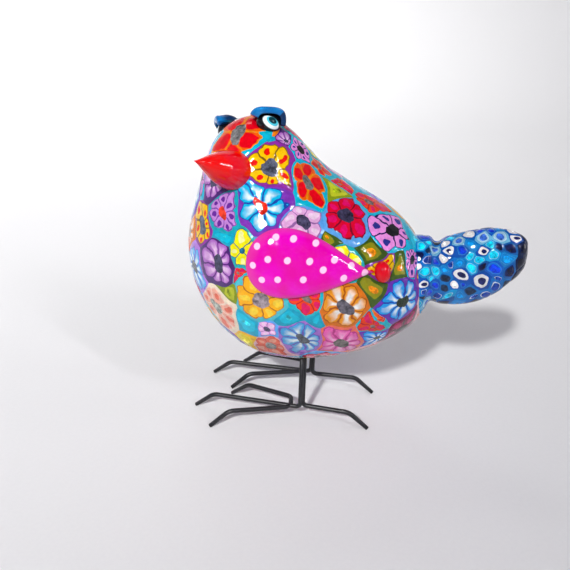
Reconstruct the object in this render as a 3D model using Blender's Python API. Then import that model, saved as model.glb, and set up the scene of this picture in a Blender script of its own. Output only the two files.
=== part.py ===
"""A plump songbird figurine of varnished polymer clay that stands on two wire legs.

Metres, Z up. The bird looks along -Y, its own left side is +X, and its toes stand on Z = 0. The last
step moves the whole figurine so that the origin is on the floor under the middle of its outline.
"""

from math import cos, pi, radians, sin

import bmesh
import bpy
import numpy as np
from mathutils import Vector

# Wire legs: every run is the same round wire
WIRE_DIAMETER = 0.0016
WIRE_SIDES = 8
STRAND_SPACING = 0.85 * WIRE_DIAMETER
STRAND_TURN = radians(-25.0)
FOOT_SPACING = 0.0219
ANKLE_HEIGHT = 0.0055
WIRE_BEND_RADIUS = 0.0016
KNUCKLE_RADIUS = 0.0045
SOCKET_DEPTH = 0.0070
SOCKET_CLEARANCE = 0.0003

# Toes, measured along the floor from the leg
MIDDLE_TOE_REACH = 0.0363
BACK_TOE_REACH = 0.0217
CLAW_RUN = 0.0055

# Each foot's two side toes are one wire that crosses the middle toe. The feet are bent by hand, so they
# differ: for each side of the foot, how far the bend and the claw are out to the side and ahead.
CROSSING_AHEAD = 0.0036
SHOULDER_RADIUS = 0.0022
SIDE_TOES = {
    "left": {"outer": ((0.0018, 0.0050), (0.0104, 0.0281)), "inner": ((0.0048, 0.0044), (0.0096, 0.0260))},
    "right": {"outer": ((0.0078, 0.0048), (0.0101, 0.0272)), "inner": ((0.0010, 0.0060), (0.0084, 0.0272))},
}

# Body: four round forms that run smoothly together, placed from the middle of the breast
BREAST_CENTRE = Vector((0.0, -0.0105, 0.0555))
BREAST_WIDTH = 0.0577
BREAST_DEPTH = 0.0577
BREAST_HEIGHT = 0.0689
BREAST_LEAN = radians(18.3)
BACK_OFFSET = Vector((0.0, 0.0217, -0.0039))
BACK_DIAMETER = 0.0492
RUMP_OFFSET = Vector((0.0, 0.0367, -0.0100))
RUMP_DIAMETER = 0.0153
HEAD_OFFSET = Vector((0.0030, -0.0075, 0.0277))
HEAD_WIDTH = 0.0304
HEAD_HEIGHT = 0.0327
BACK_BLEND = 0.0120
RUMP_BLEND = 0.0100
NECK_BLEND = 0.0086

# The head is turned to the bird's left, raised and tilted
HEAD_TURN = radians(62.7)
HEAD_RAISE = radians(19.8)
HEAD_TILT = radians(14.0)

# Pieces pressed on the clay stop short of it by the thickness of the varnish and glue
SEAT_GAP = 0.0003

# Beak: a fat cone in the middle of the face. It was pressed on by hand, so it has an axis of its own:
# where its root is, out and up from the face's middle, and how far its axis turns and lifts from there.
BEAK_LENGTH = 0.0189
BEAK_DIAMETER = 0.0112
BEAK_OUT = radians(12.0)
BEAK_DROP = radians(-11.2)
BEAK_TURN = radians(8.7)
BEAK_LIFT = radians(-2.2)
BEAK_ROOT = 0.0030
BEAK_FULLNESS = 1.22
BEAK_SHOULDER = 0.054
BEAK_ROLL = 0.12

# Eyes: flattened balls high on the head, each under a peaked lid. They are set by hand, and the right
# one sits lower: how far each is out from the middle of the face and up from the beak's level.
EYE_PLACES = {"left": (radians(52.0), radians(44.0)), "right": (radians(73.0), radians(49.5))}
EYE_WIDTH = 0.0073
EYE_HEIGHT = 0.0056
EYE_DEPTH = 0.0058
EYE_STAND_OFF = 0.0006
GAZE_OUT = radians(43.0)
GAZE_UP = radians(-11.0)
LID_OUTER_WALL = 0.0009
LID_INNER_WALL = 0.0019
LID_CROWN = 0.0015
LID_PEAK = 0.0034
LID_CORNER = 0.0016
LID_HANG = 0.20
LID_INNER_SWEEP = radians(-74.0)
LID_OUTER_SWEEP = radians(93.0)
LID_SQUARENESS = 3.2

# Wings: raised teardrops on the sides, blunt end forward
WING_LENGTH = 0.0355
WING_HEIGHT = 0.0190
WING_THICKNESS = 0.0024
WING_TAPER = 1.5
WING_CENTRE_Y = 0.0028
WING_CENTRE_Z = 0.0628
WING_SLOPE = radians(-5.0)
WING_EDGE = 0.0005

# Beads: a flattened ball behind the tip of each wing
BEAD_LENGTH = 0.0047
BEAD_HEIGHT = 0.0062
BEAD_PROUD = 0.0030

# Tail: a thick rounded paddle that flares where it grips the rump
TAIL_LENGTH = 0.0305
TAIL_COLLAR_HEIGHT = 0.0250
TAIL_COLLAR_WIDTH = 0.0200
TAIL_NECK_HEIGHT = 0.0190
TAIL_HEIGHT = 0.0236
TAIL_THICKNESS = 0.0140
TAIL_ROOT_Y = 0.0340
TAIL_ROOT_Z = 0.0531
TAIL_RISE = 0.0096
TAIL_ROOT_SUNK = 0.0070
TAIL_SQUARENESS = 2.3

# The point inside the clay that its mesh is blown out from, as shares of the back's offset and the height
HEART_BACK = 0.20
HEART_RISE = 0.15

# How finely the round forms are faceted
BODY_CUTS = 15
BEAK_SIDES = 24
EYE_SIDES = 16
WING_SIDES = 34
TAIL_SIDES = 26
LID_STEPS = 16
BEAD_SIDES = 12

COLOURS = {
    "body": ((0.62, 0.16, 0.12, 1.0), 0.12),
    "beak": ((0.80, 0.01, 0.01, 1.0), 0.08),
    "eye": ((0.01, 0.01, 0.02, 1.0), 0.06),
    "eyelid": ((0.01, 0.16, 0.48, 1.0), 0.08),
    "wing": ((0.76, 0.00, 0.42, 1.0), 0.08),
    "bead": ((0.62, 0.01, 0.01, 1.0), 0.06),
    "tail": ((0.01, 0.19, 0.56, 1.0), 0.10),
    "wire": ((0.012, 0.013, 0.016, 1.0), 0.32),
}


def clear_scene():
    for old in list(bpy.data.objects):
        bpy.data.objects.remove(old, do_unlink=True)


def clay_material(name, metallic=0.0):
    colour, roughness = COLOURS[name]
    material = bpy.data.materials.new(name)
    material.use_nodes = True
    shader = material.node_tree.nodes["Principled BSDF"]
    shader.inputs["Base Color"].default_value = colour
    shader.inputs["Roughness"].default_value = roughness
    shader.inputs["Metallic"].default_value = metallic
    return material


def add_object(name, bm, material=None):
    """Makes an object from a bmesh whose faces are turned outward."""
    bmesh.ops.recalc_face_normals(bm, faces=bm.faces)
    mesh = bpy.data.meshes.new(name)
    bm.to_mesh(mesh)
    bm.free()
    mesh.shade_smooth()
    if material:
        mesh.materials.append(material)
    made = bpy.data.objects.new(name, mesh)
    bpy.context.collection.objects.link(made)
    return made


def as_tool(made):
    """Marks an object as a cutter or a piece to be joined, which isn't a sub-part by itself."""
    made.hide_render = True
    made.display_type = "WIRE"
    return made


def apply_boolean(target, tool, operation):
    modifier = target.modifiers.new(tool.name, "BOOLEAN")
    modifier.operation = operation
    modifier.solver = "EXACT"
    modifier.object = tool


# The clay form as a distance: below zero inside it, zero on its surface

def ellipsoid_distance(points, centre, radii, lean=0.0):
    """Nearly the distance to an ellipsoid whose upright axis leans forward, toward -Y."""
    x, y, z = (points - np.array(centre)).T
    depth = y * cos(lean) + z * sin(lean)
    height = z * cos(lean) - y * sin(lean)
    scaled = np.stack([x, depth, height], axis=1) / np.array(radii)
    length = np.linalg.norm(scaled, axis=1)
    slope = np.linalg.norm(scaled / np.array(radii), axis=1)
    return length * (length - 1.0) / np.maximum(slope, 1e-9)


def blend(first, second, width):
    """The nearer of two distances, rounded where they are alike within the width."""
    near = np.maximum(width - np.abs(first - second), 0.0)
    return np.minimum(first, second) - near * near / (4.0 * width)


def clay_distance(points):
    points = np.atleast_2d(np.array(points, dtype=float))
    breast_radii = (BREAST_WIDTH / 2, BREAST_DEPTH / 2, BREAST_HEIGHT / 2)
    breast = ellipsoid_distance(points, BREAST_CENTRE, breast_radii, BREAST_LEAN)
    back = ellipsoid_distance(points, BREAST_CENTRE + BACK_OFFSET, (BACK_DIAMETER / 2,) * 3)
    rump = ellipsoid_distance(points, BREAST_CENTRE + RUMP_OFFSET, (RUMP_DIAMETER / 2,) * 3)
    head_radii = (HEAD_WIDTH / 2, HEAD_WIDTH / 2, HEAD_HEIGHT / 2)
    head = ellipsoid_distance(points, head_centre(), head_radii)
    trunk = blend(blend(breast, back, BACK_BLEND), rump, RUMP_BLEND)
    return blend(trunk, head, NECK_BLEND)


def head_centre():
    return BREAST_CENTRE + HEAD_OFFSET


def surface_from(start, directions, offset=0.0):
    """Where rays from a point inside the clay leave it, or leave it grown by the offset."""
    start = np.array(start)
    near = np.zeros(len(directions))
    far = np.full(len(directions), 2.0 * BREAST_HEIGHT)
    for _ in range(40):
        middle = (near + far) / 2
        inside = clay_distance(start + directions * middle[:, None]) < offset
        near = np.where(inside, middle, near)
        far = np.where(inside, far, middle)
    return start + directions * near[:, None]


def outward(points):
    """Unit normals of the clay surface, from small differences of the distance."""
    step = 1e-5
    slopes = [clay_distance(points + np.eye(3)[i] * step) - clay_distance(points - np.eye(3)[i] * step)
              for i in range(3)]
    normals = np.stack(slopes, axis=1)
    return normals / np.linalg.norm(normals, axis=1)[:, None]


def clay_lump(name, offset=0.0, material=None):
    """The whole body and head, as a cube whose faces are divided evenly and blown out to the surface."""
    bm = bmesh.new()
    bmesh.ops.create_cube(bm, size=2.0)
    bmesh.ops.subdivide_edges(bm, edges=bm.edges, cuts=BODY_CUTS, use_grid_fill=True)
    corners = np.array([vertex.co for vertex in bm.verts])
    rounded = np.tan(corners * pi / 4)
    directions = rounded / np.linalg.norm(rounded, axis=1)[:, None]
    start = BREAST_CENTRE + BACK_OFFSET * HEART_BACK + Vector((0.0, 0.0, BREAST_HEIGHT * HEART_RISE))
    for vertex, place in zip(bm.verts, surface_from(start, directions, offset)):
        vertex.co = place
    bmesh.ops.triangulate(bm, faces=bm.faces)
    return add_object(name, bm, material)


# The head's own directions: forward along the beak, left, and up

def head_axes():
    turned = Vector((sin(HEAD_TURN), -cos(HEAD_TURN), 0.0))
    level_left = Vector((cos(HEAD_TURN), sin(HEAD_TURN), 0.0))
    forward = turned * cos(HEAD_RAISE) + Vector((0.0, 0.0, sin(HEAD_RAISE)))
    raised = Vector((0.0, 0.0, cos(HEAD_RAISE))) - turned * sin(HEAD_RAISE)
    left = level_left * cos(HEAD_TILT) + raised * sin(HEAD_TILT)
    up = raised * cos(HEAD_TILT) - level_left * sin(HEAD_TILT)
    return forward, left, up


def head_direction(out_angle, up_angle):
    forward, left, up = head_axes()
    level = forward * cos(out_angle) + left * sin(out_angle)
    return level * cos(up_angle) + up * sin(up_angle)


def on_head(direction, height=0.0):
    """The point over the head's surface in a direction from its centre."""
    place = surface_from(head_centre(), np.array([direction]))[0]
    return Vector(place) + direction * height


# Meshes made of rings

def ring_solid(rings, tips=None, folded=False):
    """Joins rings of points with quads, and closes each end with a fan to its tip or to its middle.

    A folded ring runs out along one side of a strip and back along the other, so its ends close with
    quads from side to side.
    """
    bm = bmesh.new()
    rows = [[bm.verts.new(point) for point in ring] for ring in rings]
    count = len(rows[0])
    for lower, upper in zip(rows, rows[1:]):
        for i in range(count):
            j = (i + 1) % count
            bm.faces.new((lower[i], lower[j], upper[j], upper[i]))
    if folded:
        for row in (rows[0], rows[-1]):
            for i in range(count // 2 - 1):
                bm.faces.new((row[i], row[i + 1], row[count - i - 2], row[count - i - 1]))
        return bm
    tips = tips or [sum((Vector(point) for point in ring), Vector()) / count for ring in (rings[0], rings[-1])]
    for row, tip in zip((rows[0], rows[-1]), tips):
        middle = bm.verts.new(tip)
        for i in range(count):
            bm.faces.new((row[i], row[(i + 1) % count], middle))
    return bm


def rounded_route(corners, radii, steps=3):
    """A route through corner points, with each inner corner rounded by an arc of its own radius."""
    route = [corners[0]]
    for before, corner, after, radius in zip(corners, corners[1:], corners[2:], radii):
        inward = (before - corner).normalized()
        onward = (after - corner).normalized()
        half = inward.angle(onward) / 2
        bend = min(radius, 0.45 * min((before - corner).length, (after - corner).length) * np.tan(half))
        centre = corner + (inward + onward).normalized() * (bend / sin(half))
        start = (corner + inward * bend / np.tan(half) - centre).normalized()
        end = (corner + onward * bend / np.tan(half) - centre).normalized()
        route += [centre + start.slerp(end, step / steps) * bend for step in range(steps + 1)]
    route.append(corners[-1])
    return route


def wire_tube(name, route, radius):
    """A round wire along a route, with flat ends."""
    side = (route[1] - route[0]).orthogonal().normalized()
    rings = []
    for i, place in enumerate(route):
        before = route[max(i - 1, 0)]
        after = route[min(i + 1, len(route) - 1)]
        along = (after - before).normalized()
        side = (side - along * side.dot(along)).normalized()
        across = along.cross(side)
        turns = [2 * pi * (k + 0.5) / WIRE_SIDES for k in range(WIRE_SIDES)]
        rings.append([place + radius * (side * cos(turn) + across * sin(turn)) for turn in turns])
    return add_object(name, ring_solid(rings))


# Wire legs

def strand_places(hand):
    """Where the two wires of a leg stand side by side, the one in front first."""
    pair = Vector((hand * cos(STRAND_TURN), sin(STRAND_TURN), 0.0)) * (STRAND_SPACING / 2)
    middle = Vector((hand * FOOT_SPACING / 2, 0.0, ANKLE_HEIGHT))
    return middle + pair, middle - pair


def strand_top(place):
    """The top of a strand, up in its socket in the belly."""
    belly = surface_from((place.x, place.y, BREAST_CENTRE.z), np.array([[0.0, 0.0, -1.0]]))[0]
    return Vector((place.x, place.y, belly[2] + SOCKET_DEPTH))


def claw_bend(foot, direction, reach):
    """The knuckle at ankle height, and the claw's tip a little under the floor, to be taken off flat."""
    knuckle = foot + direction * (reach - CLAW_RUN)
    slope = (ANKLE_HEIGHT - WIRE_DIAMETER / 2) / CLAW_RUN
    end_run = CLAW_RUN + WIRE_DIAMETER / 2
    return [knuckle, knuckle + direction * end_run - Vector((0.0, 0.0, slope * end_run))]


def side_toes_route(foot, hand, side):
    """One wire from claw to claw, round both shoulders and across the middle toe between them."""
    halves = []
    for place, away in (("outer", hand), ("inner", -hand)):
        (bend_out, bend_ahead), (tip_out, tip_ahead) = SIDE_TOES[side][place]
        shoulder = foot + Vector((away * bend_out, -bend_ahead, 0.0))
        tip = foot + Vector((away * tip_out, -tip_ahead, 0.0))
        along = (tip - shoulder).normalized()
        halves.append([shoulder] + claw_bend(shoulder, along, (tip - shoulder).length))
    crossing = foot + Vector((0.0, -CROSSING_AHEAD, 0.0))
    return halves[0][::-1] + [crossing] + halves[1]


def make_leg(name, hand, side, material):
    """Two wires side by side: one bends forward as the middle toe and one back as the hind toe."""
    front_strand, back_strand = strand_places(hand)
    foot = (front_strand + back_strand) / 2
    radius = WIRE_DIAMETER / 2
    ahead = Vector((0.0, -1.0, 0.0))
    front_route = [strand_top(front_strand), front_strand] + claw_bend(foot, ahead, MIDDLE_TOE_REACH)
    back_route = [strand_top(back_strand), back_strand] + claw_bend(foot, -ahead, BACK_TOE_REACH)
    bends = [WIRE_BEND_RADIUS, KNUCKLE_RADIUS]
    leg = wire_tube(name, rounded_route(front_route, bends), radius)
    leg.data.materials.append(material)
    back_wire = wire_tube(name + "_back_wire", rounded_route(back_route, bends), radius)
    side_bends = [KNUCKLE_RADIUS] + [SHOULDER_RADIUS] * 3 + [KNUCKLE_RADIUS]
    side_route = rounded_route(side_toes_route(foot, hand, side), side_bends)
    side_wire = wire_tube(name + "_side_toes", side_route, radius)
    for wire in (back_wire, side_wire):
        apply_boolean(leg, as_tool(wire), "UNION")
    return leg


def floor_block():
    """Everything under the floor, which takes the claws' rounded undersides off flat."""
    bm = bmesh.new()
    bmesh.ops.create_cube(bm, size=1.0)
    size = 3.0 * BREAST_HEIGHT
    for vertex in bm.verts:
        vertex.co = Vector((vertex.co.x * size, vertex.co.y * size, (vertex.co.z - 0.5) * ANKLE_HEIGHT))
    return as_tool(add_object("floor_block", bm))


def socket_tools(hand):
    """A round hole in the belly for each strand."""
    tools = []
    for place, label in zip(strand_places(hand), ("front", "back")):
        top = strand_top(place) + Vector((0.0, 0.0, SOCKET_CLEARANCE))
        bottom = Vector((place.x, place.y, ANKLE_HEIGHT))
        name = "socket_" + label + ("_left" if hand > 0 else "_right")
        tools.append(as_tool(wire_tube(name, [bottom, top], WIRE_DIAMETER / 2 + SOCKET_CLEARANCE)))
    return tools


# Face

def make_beak(clearance, material):
    """A cone that ends in a point like a pinched drop, and whose root rolls in where it meets the face."""
    forward, left, up = head_axes()
    axis = forward * cos(BEAK_LIFT) + up * sin(BEAK_LIFT)
    axis = (axis * cos(BEAK_TURN) + left * sin(BEAK_TURN)).normalized()
    side = (left - axis * left.dot(axis)).normalized()
    top = axis.cross(side)
    root = on_head(head_direction(BEAK_OUT, BEAK_DROP), -BEAK_ROOT)
    turns = [2 * pi * k / BEAK_SIDES for k in range(BEAK_SIDES)]
    rings = []
    for share in (0.0, BEAK_SHOULDER, 0.12, 0.20, 0.29, 0.39, 0.50, 0.61, 0.72, 0.82, 0.91, 0.97):
        if share < BEAK_SHOULDER:
            fullness = 1.0 - BEAK_ROLL
        else:
            fullness = sin(pi / 2 * (1.0 - share) / (1.0 - BEAK_SHOULDER)) ** BEAK_FULLNESS
        radius = BEAK_DIAMETER / 2 * fullness
        centre = root + axis * (BEAK_LENGTH + BEAK_ROOT) * share
        rings.append([centre + radius * (side * cos(turn) + top * sin(turn)) for turn in turns])
    beak = add_object("beak", ring_solid(rings), material)
    apply_boolean(beak, clearance, "DIFFERENCE")
    return beak


def eye_frame(hand):
    """The eye's middle, and its directions: gaze, across to the outer corner, and to the top."""
    eye_out, eye_up = EYE_PLACES["left" if hand > 0 else "right"]
    radial = head_direction(hand * eye_out, eye_up)
    middle = on_head(radial, EYE_STAND_OFF)
    gaze = head_direction(hand * GAZE_OUT, GAZE_UP)
    up = head_axes()[2]
    top = (up - gaze * up.dot(gaze)).normalized()
    across = top.cross(gaze) * hand
    return middle, gaze, across, top


def ball(middle, axes, half_sizes, sides):
    """A ball with its own size along each of three directions, ringed about the first."""
    rows = sides // 2
    rings = []
    for row in range(1, rows):
        tilt = pi * row / rows
        ring = []
        for k in range(sides):
            turn = 2 * pi * k / sides
            shares = (cos(tilt), sin(tilt) * cos(turn), sin(tilt) * sin(turn))
            ring.append(middle + sum((axis * half * share for axis, half, share in zip(axes, half_sizes, shares)),
                                     Vector()))
        rings.append(ring)
    return ring_solid(rings)


def make_eye(name, hand, clearance, material):
    middle, gaze, across, top = eye_frame(hand)
    half_sizes = (EYE_DEPTH / 2, EYE_WIDTH / 2, EYE_HEIGHT / 2)
    eye = add_object(name, ball(middle, (gaze, across, top), half_sizes, EYE_SIDES), material)
    apply_boolean(eye, clearance, "DIFFERENCE")
    return eye


def squared(angle):
    """A point on a circle of radius one that is pushed out toward a square."""
    power = 2.0 / LID_SQUARENESS
    x, y = sin(angle), cos(angle)
    return abs(x) ** power * (1 if x > 0 else -1), abs(y) ** power * (1 if y > 0 else -1)


def make_eyelid(name, hand, clearance, material):
    """A hood over the eye: a dome behind it that runs forward into a flat peak."""
    middle, gaze, across, top = eye_frame(hand)
    reach_out = EYE_WIDTH / 2 + SEAT_GAP
    reach_up = EYE_HEIGHT / 2 + SEAT_GAP
    back = EYE_DEPTH / 2 + SEAT_GAP
    shares = ((-1.0, 0.12), (-0.85, 0.58), (-0.5, 0.89), (0.0, 1.0), (0.40, 0.94))
    rings = []
    for step in range(LID_STEPS + 1):
        sweep = LID_INNER_SWEEP + (LID_OUTER_SWEEP - LID_INNER_SWEEP) * step / LID_STEPS
        out, rise = squared(sweep)
        wall = LID_OUTER_WALL if sweep > 0.0 else LID_INNER_WALL
        peak = LID_CORNER + (LID_PEAK - LID_CORNER) * cos(sweep / 2) ** 4
        inner = [(back * depth, size, 0.0) for depth, size in shares]
        rim = [(peak - 0.1 * wall, 1.0 - LID_HANG, 0.0), (peak, 1.0 - LID_HANG, 0.3),
               (peak, 1.0, 0.7), (peak - 0.3 * wall, 1.0, 1.0)]
        outer = [(back * depth - wall * (1.0 - min(1.0, size)), size, 1.0) for depth, size in reversed(shares)]
        ring = []
        for depth, size, thickness in inner + rim + outer:
            wide = (reach_out * size + wall * thickness) * out
            high = (reach_up * size + LID_CROWN * thickness) * rise
            ring.append(middle + gaze * depth + across * wide + top * high)
        rings.append(ring)
    lid = add_object(name, ring_solid(rings, folded=True), material)
    apply_boolean(lid, clearance, "DIFFERENCE")
    return lid


# Wings and beads

def wing_outline(turn):
    """A teardrop along its own axis: turn 0 is the tip and half a turn is the blunt end."""
    widest = 2.0 * np.arctan(np.sqrt(1.0 + WING_TAPER))
    full = sin(widest) * sin(widest / 2) ** WING_TAPER
    along = cos(turn)
    across = sin(turn) * abs(sin(turn / 2)) ** WING_TAPER / full
    return along * WING_LENGTH / 2, across * WING_HEIGHT / 2


def side_surface(hand, y, z, offset=0.0):
    """The clay's side at a height and a place along the bird."""
    return surface_from((0.0, y, z), np.array([[float(hand), 0.0, 0.0]]), offset)[0]


def wing_place(along, across):
    """Turns the wing's own coordinates into Y and Z on the bird's side."""
    y = WING_CENTRE_Y + along * cos(WING_SLOPE) - across * sin(WING_SLOPE)
    z = WING_CENTRE_Z + along * sin(WING_SLOPE) + across * cos(WING_SLOPE)
    return y, z


def make_wing(name, hand, material):
    """A cushion with a round edge whose underside follows the clay."""
    under = [(share, SEAT_GAP) for share in (0.35, 0.70, 1.0)]
    over = [(share, SEAT_GAP + WING_EDGE + (WING_THICKNESS - WING_EDGE) * (1.0 - share ** 3.2) ** 0.55)
            for share in (1.0, 0.95, 0.82, 0.60, 0.30)]

    def wing_point(along, across, height):
        place = side_surface(hand, *wing_place(along, across))
        return Vector(place + outward(place[None, :])[0] * height)

    turns = [2 * pi * (k + 0.5) / WING_SIDES for k in range(WING_SIDES)]
    outline = [wing_outline(turn) for turn in turns]
    rings = [[wing_point(along * share, across * share, height) for along, across in outline]
             for share, height in under + over]
    tips = [wing_point(0.0, 0.0, SEAT_GAP), wing_point(0.0, 0.0, SEAT_GAP + WING_THICKNESS)]
    return add_object(name, ring_solid(rings, tips), material)


def make_bead(name, hand, clearance, material):
    """A flattened ball just behind the wing's tip, with its length along the slanting side."""
    tip = side_surface(hand, *wing_place(WING_LENGTH / 2, 0.0))
    slant = abs(outward(tip[None, :])[0][0])
    place = side_surface(hand, *wing_place(WING_LENGTH / 2 + (SEAT_GAP + BEAD_LENGTH / 2) * slant, 0.0))
    normal = Vector(outward(place[None, :])[0])
    middle = Vector(place) + normal * (BEAD_PROUD - BEAD_LENGTH / 2)
    high = (Vector((0.0, 0.0, 1.0)) - normal * normal.z).normalized()
    along = normal.cross(high)
    half_sizes = (BEAD_LENGTH / 2, BEAD_LENGTH / 2, BEAD_HEIGHT / 2)
    bead = add_object(name, ball(middle, (normal, along, high), half_sizes, BEAD_SIDES), material)
    apply_boolean(bead, clearance, "DIFFERENCE")
    return bead


# Tail

def tail_sections():
    """Stations along the tail: place along it, middle height, half height and half thickness."""
    collar = (TAIL_COLLAR_HEIGHT / 2, TAIL_COLLAR_WIDTH / 2)
    neck = (TAIL_NECK_HEIGHT / 2, TAIL_THICKNESS / 2)
    full = (TAIL_HEIGHT / 2, TAIL_THICKNESS / 2)
    return [
        (-TAIL_ROOT_SUNK / TAIL_LENGTH, 0.00, collar[0], collar[1]),
        (0.02, 0.00, collar[0], collar[1]),
        (0.07, 0.06, collar[0] * 0.93, collar[1] * 0.93),
        (0.13, 0.17, neck[0], neck[1] * 1.06),
        (0.24, 0.26, 0.4 * neck[0] + 0.6 * full[0], neck[1]),
        (0.42, 0.38, full[0], full[1]),
        (0.60, 0.55, full[0] * 0.985, full[1] * 0.98),
        (0.75, 0.72, full[0] * 0.86, full[1] * 0.93),
        (0.86, 0.88, full[0] * 0.68, full[1] * 0.82),
        (0.94, 0.98, full[0] * 0.52, full[1] * 0.62),
        (0.985, 1.0, full[0] * 0.38, full[1] * 0.36),
    ]


def make_tail(clearance, material):
    rings = []
    power = 2.0 / TAIL_SQUARENESS
    for share, rise, half_height, half_thickness in tail_sections():
        y = TAIL_ROOT_Y + TAIL_LENGTH * share
        z = TAIL_ROOT_Z + TAIL_RISE * rise
        ring = []
        for k in range(TAIL_SIDES):
            turn = 2 * pi * k / TAIL_SIDES
            across = abs(cos(turn)) ** power * (1 if cos(turn) > 0 else -1)
            high = abs(sin(turn)) ** power * (1 if sin(turn) > 0 else -1)
            ring.append(Vector((half_thickness * across, y, z + half_height * high)))
        rings.append(ring)
    tail = add_object("tail", ring_solid(rings), material)
    apply_boolean(tail, clearance, "DIFFERENCE")
    return tail


def stand_over_origin(pieces):
    """Hangs every piece on an empty that puts the origin under the middle of the figurine."""
    bpy.context.view_layer.update()
    graph = bpy.context.evaluated_depsgraph_get()
    places = []
    for piece in pieces:
        shown = piece.evaluated_get(graph)
        places += [piece.matrix_world @ vertex.co for vertex in shown.data.vertices]
    lows = [min(place[i] for place in places) for i in range(3)]
    highs = [max(place[i] for place in places) for i in range(3)]
    stand = bpy.data.objects.new("stand", None)
    bpy.context.collection.objects.link(stand)
    for piece in list(bpy.data.objects):
        if piece is not stand:
            piece.parent = stand
    stand.location = (-(lows[0] + highs[0]) / 2, -(lows[1] + highs[1]) / 2, -lows[2])


def build():
    clear_scene()
    materials = {name: clay_material(name, 0.9 if name == "wire" else 0.0) for name in COLOURS}
    body = clay_lump("body", 0.0, materials["body"])
    clearance = as_tool(clay_lump("clay_clearance", SEAT_GAP))
    floor = floor_block()
    pieces = [body, make_beak(clearance, materials["beak"]), make_tail(clearance, materials["tail"])]
    for hand, side in ((1, "left"), (-1, "right")):
        for tool in socket_tools(hand):
            apply_boolean(body, tool, "DIFFERENCE")
        leg = make_leg("leg_" + side, hand, side, materials["wire"])
        apply_boolean(leg, floor, "DIFFERENCE")
        pieces.append(leg)
        pieces.append(make_eye("eye_" + side, hand, clearance, materials["eye"]))
        pieces.append(make_eyelid("eyelid_" + side, hand, clearance, materials["eyelid"]))
        pieces.append(make_wing("wing_" + side, hand, materials["wing"]))
        pieces.append(make_bead("wing_bead_" + side, hand, clearance, materials["bead"]))
    stand_over_origin(pieces)


build()
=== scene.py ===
"""The looks of a songbird figurine of varnished polymer clay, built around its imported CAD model.

The file follows the figurine as it is made: the clay body with its flower-cane slices, then the beak,
eyes, lids, wings, beads, tail and wire legs, and last the studio. Metres, Z up, the bird looks along -Y.
"""

from math import cos, pi, radians, sin, tan

import bmesh
import bpy
import numpy as np
from mathutils import Matrix, Vector


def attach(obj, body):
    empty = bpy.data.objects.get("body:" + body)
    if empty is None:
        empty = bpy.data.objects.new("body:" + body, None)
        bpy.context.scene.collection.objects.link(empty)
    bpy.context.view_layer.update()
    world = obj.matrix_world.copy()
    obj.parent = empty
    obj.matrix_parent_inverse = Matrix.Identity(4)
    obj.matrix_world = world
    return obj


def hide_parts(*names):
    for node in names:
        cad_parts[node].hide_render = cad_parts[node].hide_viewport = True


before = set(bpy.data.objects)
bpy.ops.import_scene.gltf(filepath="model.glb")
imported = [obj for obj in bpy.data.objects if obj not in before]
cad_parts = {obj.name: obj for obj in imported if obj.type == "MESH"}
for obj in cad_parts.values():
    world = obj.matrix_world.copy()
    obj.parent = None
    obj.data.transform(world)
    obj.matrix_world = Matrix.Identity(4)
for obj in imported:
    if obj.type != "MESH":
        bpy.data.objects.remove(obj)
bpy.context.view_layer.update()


# Body and head
# The real piece is one lump of polymer clay, shaped by hand. Its whole outside is covered with thin
# slices cut from flower canes, rolled in until they touch, then baked and varnished.

# The CAD model is moved so that its origin is under the middle of the outline, by this much
STAND = np.array([-0.00177, -0.01205, 0.0])

BREAST_CENTRE = np.array([0.0, -0.0105, 0.0555]) + STAND
BREAST_RADII = np.array([0.0577, 0.0577, 0.0689]) / 2
BREAST_LEAN = radians(18.3)
BACK_CENTRE = BREAST_CENTRE + np.array([0.0, 0.0217, -0.0039])
BACK_RADIUS = 0.0492 / 2
RUMP_CENTRE = BREAST_CENTRE + np.array([0.0, 0.0367, -0.0100])
RUMP_RADIUS = 0.0153 / 2
HEAD_CENTRE = BREAST_CENTRE + np.array([0.0030, -0.0075, 0.0277])
HEAD_RADII = np.array([0.0304, 0.0304, 0.0327]) / 2
BACK_BLEND = 0.0120
RUMP_BLEND = 0.0100
NECK_BLEND = 0.0086
HEART = BREAST_CENTRE + np.array([0.0, 0.0043, 0.0096])
# Longer than any way from inside the clay to its surface
RAY_LENGTH = 0.14


def ellipsoid_distance(points, centre, radii, lean=0.0):
    """Nearly the distance to an ellipsoid whose upright axis leans forward."""
    x, y, z = (points - centre).T
    scaled = np.stack([x, y * cos(lean) + z * sin(lean), z * cos(lean) - y * sin(lean)], axis=1) / radii
    length = np.linalg.norm(scaled, axis=1)
    return length * (length - 1.0) / np.maximum(np.linalg.norm(scaled / radii, axis=1), 1e-9)


def blend(first, second, width):
    """Joins two distances, rounding the corner between their forms over a width."""
    near = np.maximum(width - np.abs(first - second), 0.0)
    return np.minimum(first, second) - near * near / (4.0 * width)


def clay_distance(points):
    """How far points are outside the clay: below zero inside it."""
    breast = ellipsoid_distance(points, BREAST_CENTRE, BREAST_RADII, BREAST_LEAN)
    back = ellipsoid_distance(points, BACK_CENTRE, np.full(3, BACK_RADIUS))
    rump = ellipsoid_distance(points, RUMP_CENTRE, np.full(3, RUMP_RADIUS))
    head = ellipsoid_distance(points, HEAD_CENTRE, HEAD_RADII)
    return blend(blend(blend(breast, back, BACK_BLEND), rump, RUMP_BLEND), head, NECK_BLEND)


def clay_surface(start, directions):
    """Where rays from points inside the clay leave it."""
    near = np.zeros(len(directions))
    far = np.full(len(directions), RAY_LENGTH)
    for _ in range(32):
        middle = (near + far) / 2
        inside = clay_distance(start + directions * middle[:, None]) < 0.0
        near = np.where(inside, middle, near)
        far = np.where(inside, far, middle)
    return start + directions * near[:, None]


def clay_normals(points):
    step = 1e-5
    slopes = [clay_distance(points + np.eye(3)[i] * step) - clay_distance(points - np.eye(3)[i] * step)
              for i in range(3)]
    normals = np.stack(slopes, axis=1)
    return normals / np.linalg.norm(normals, axis=1)[:, None]


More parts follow.
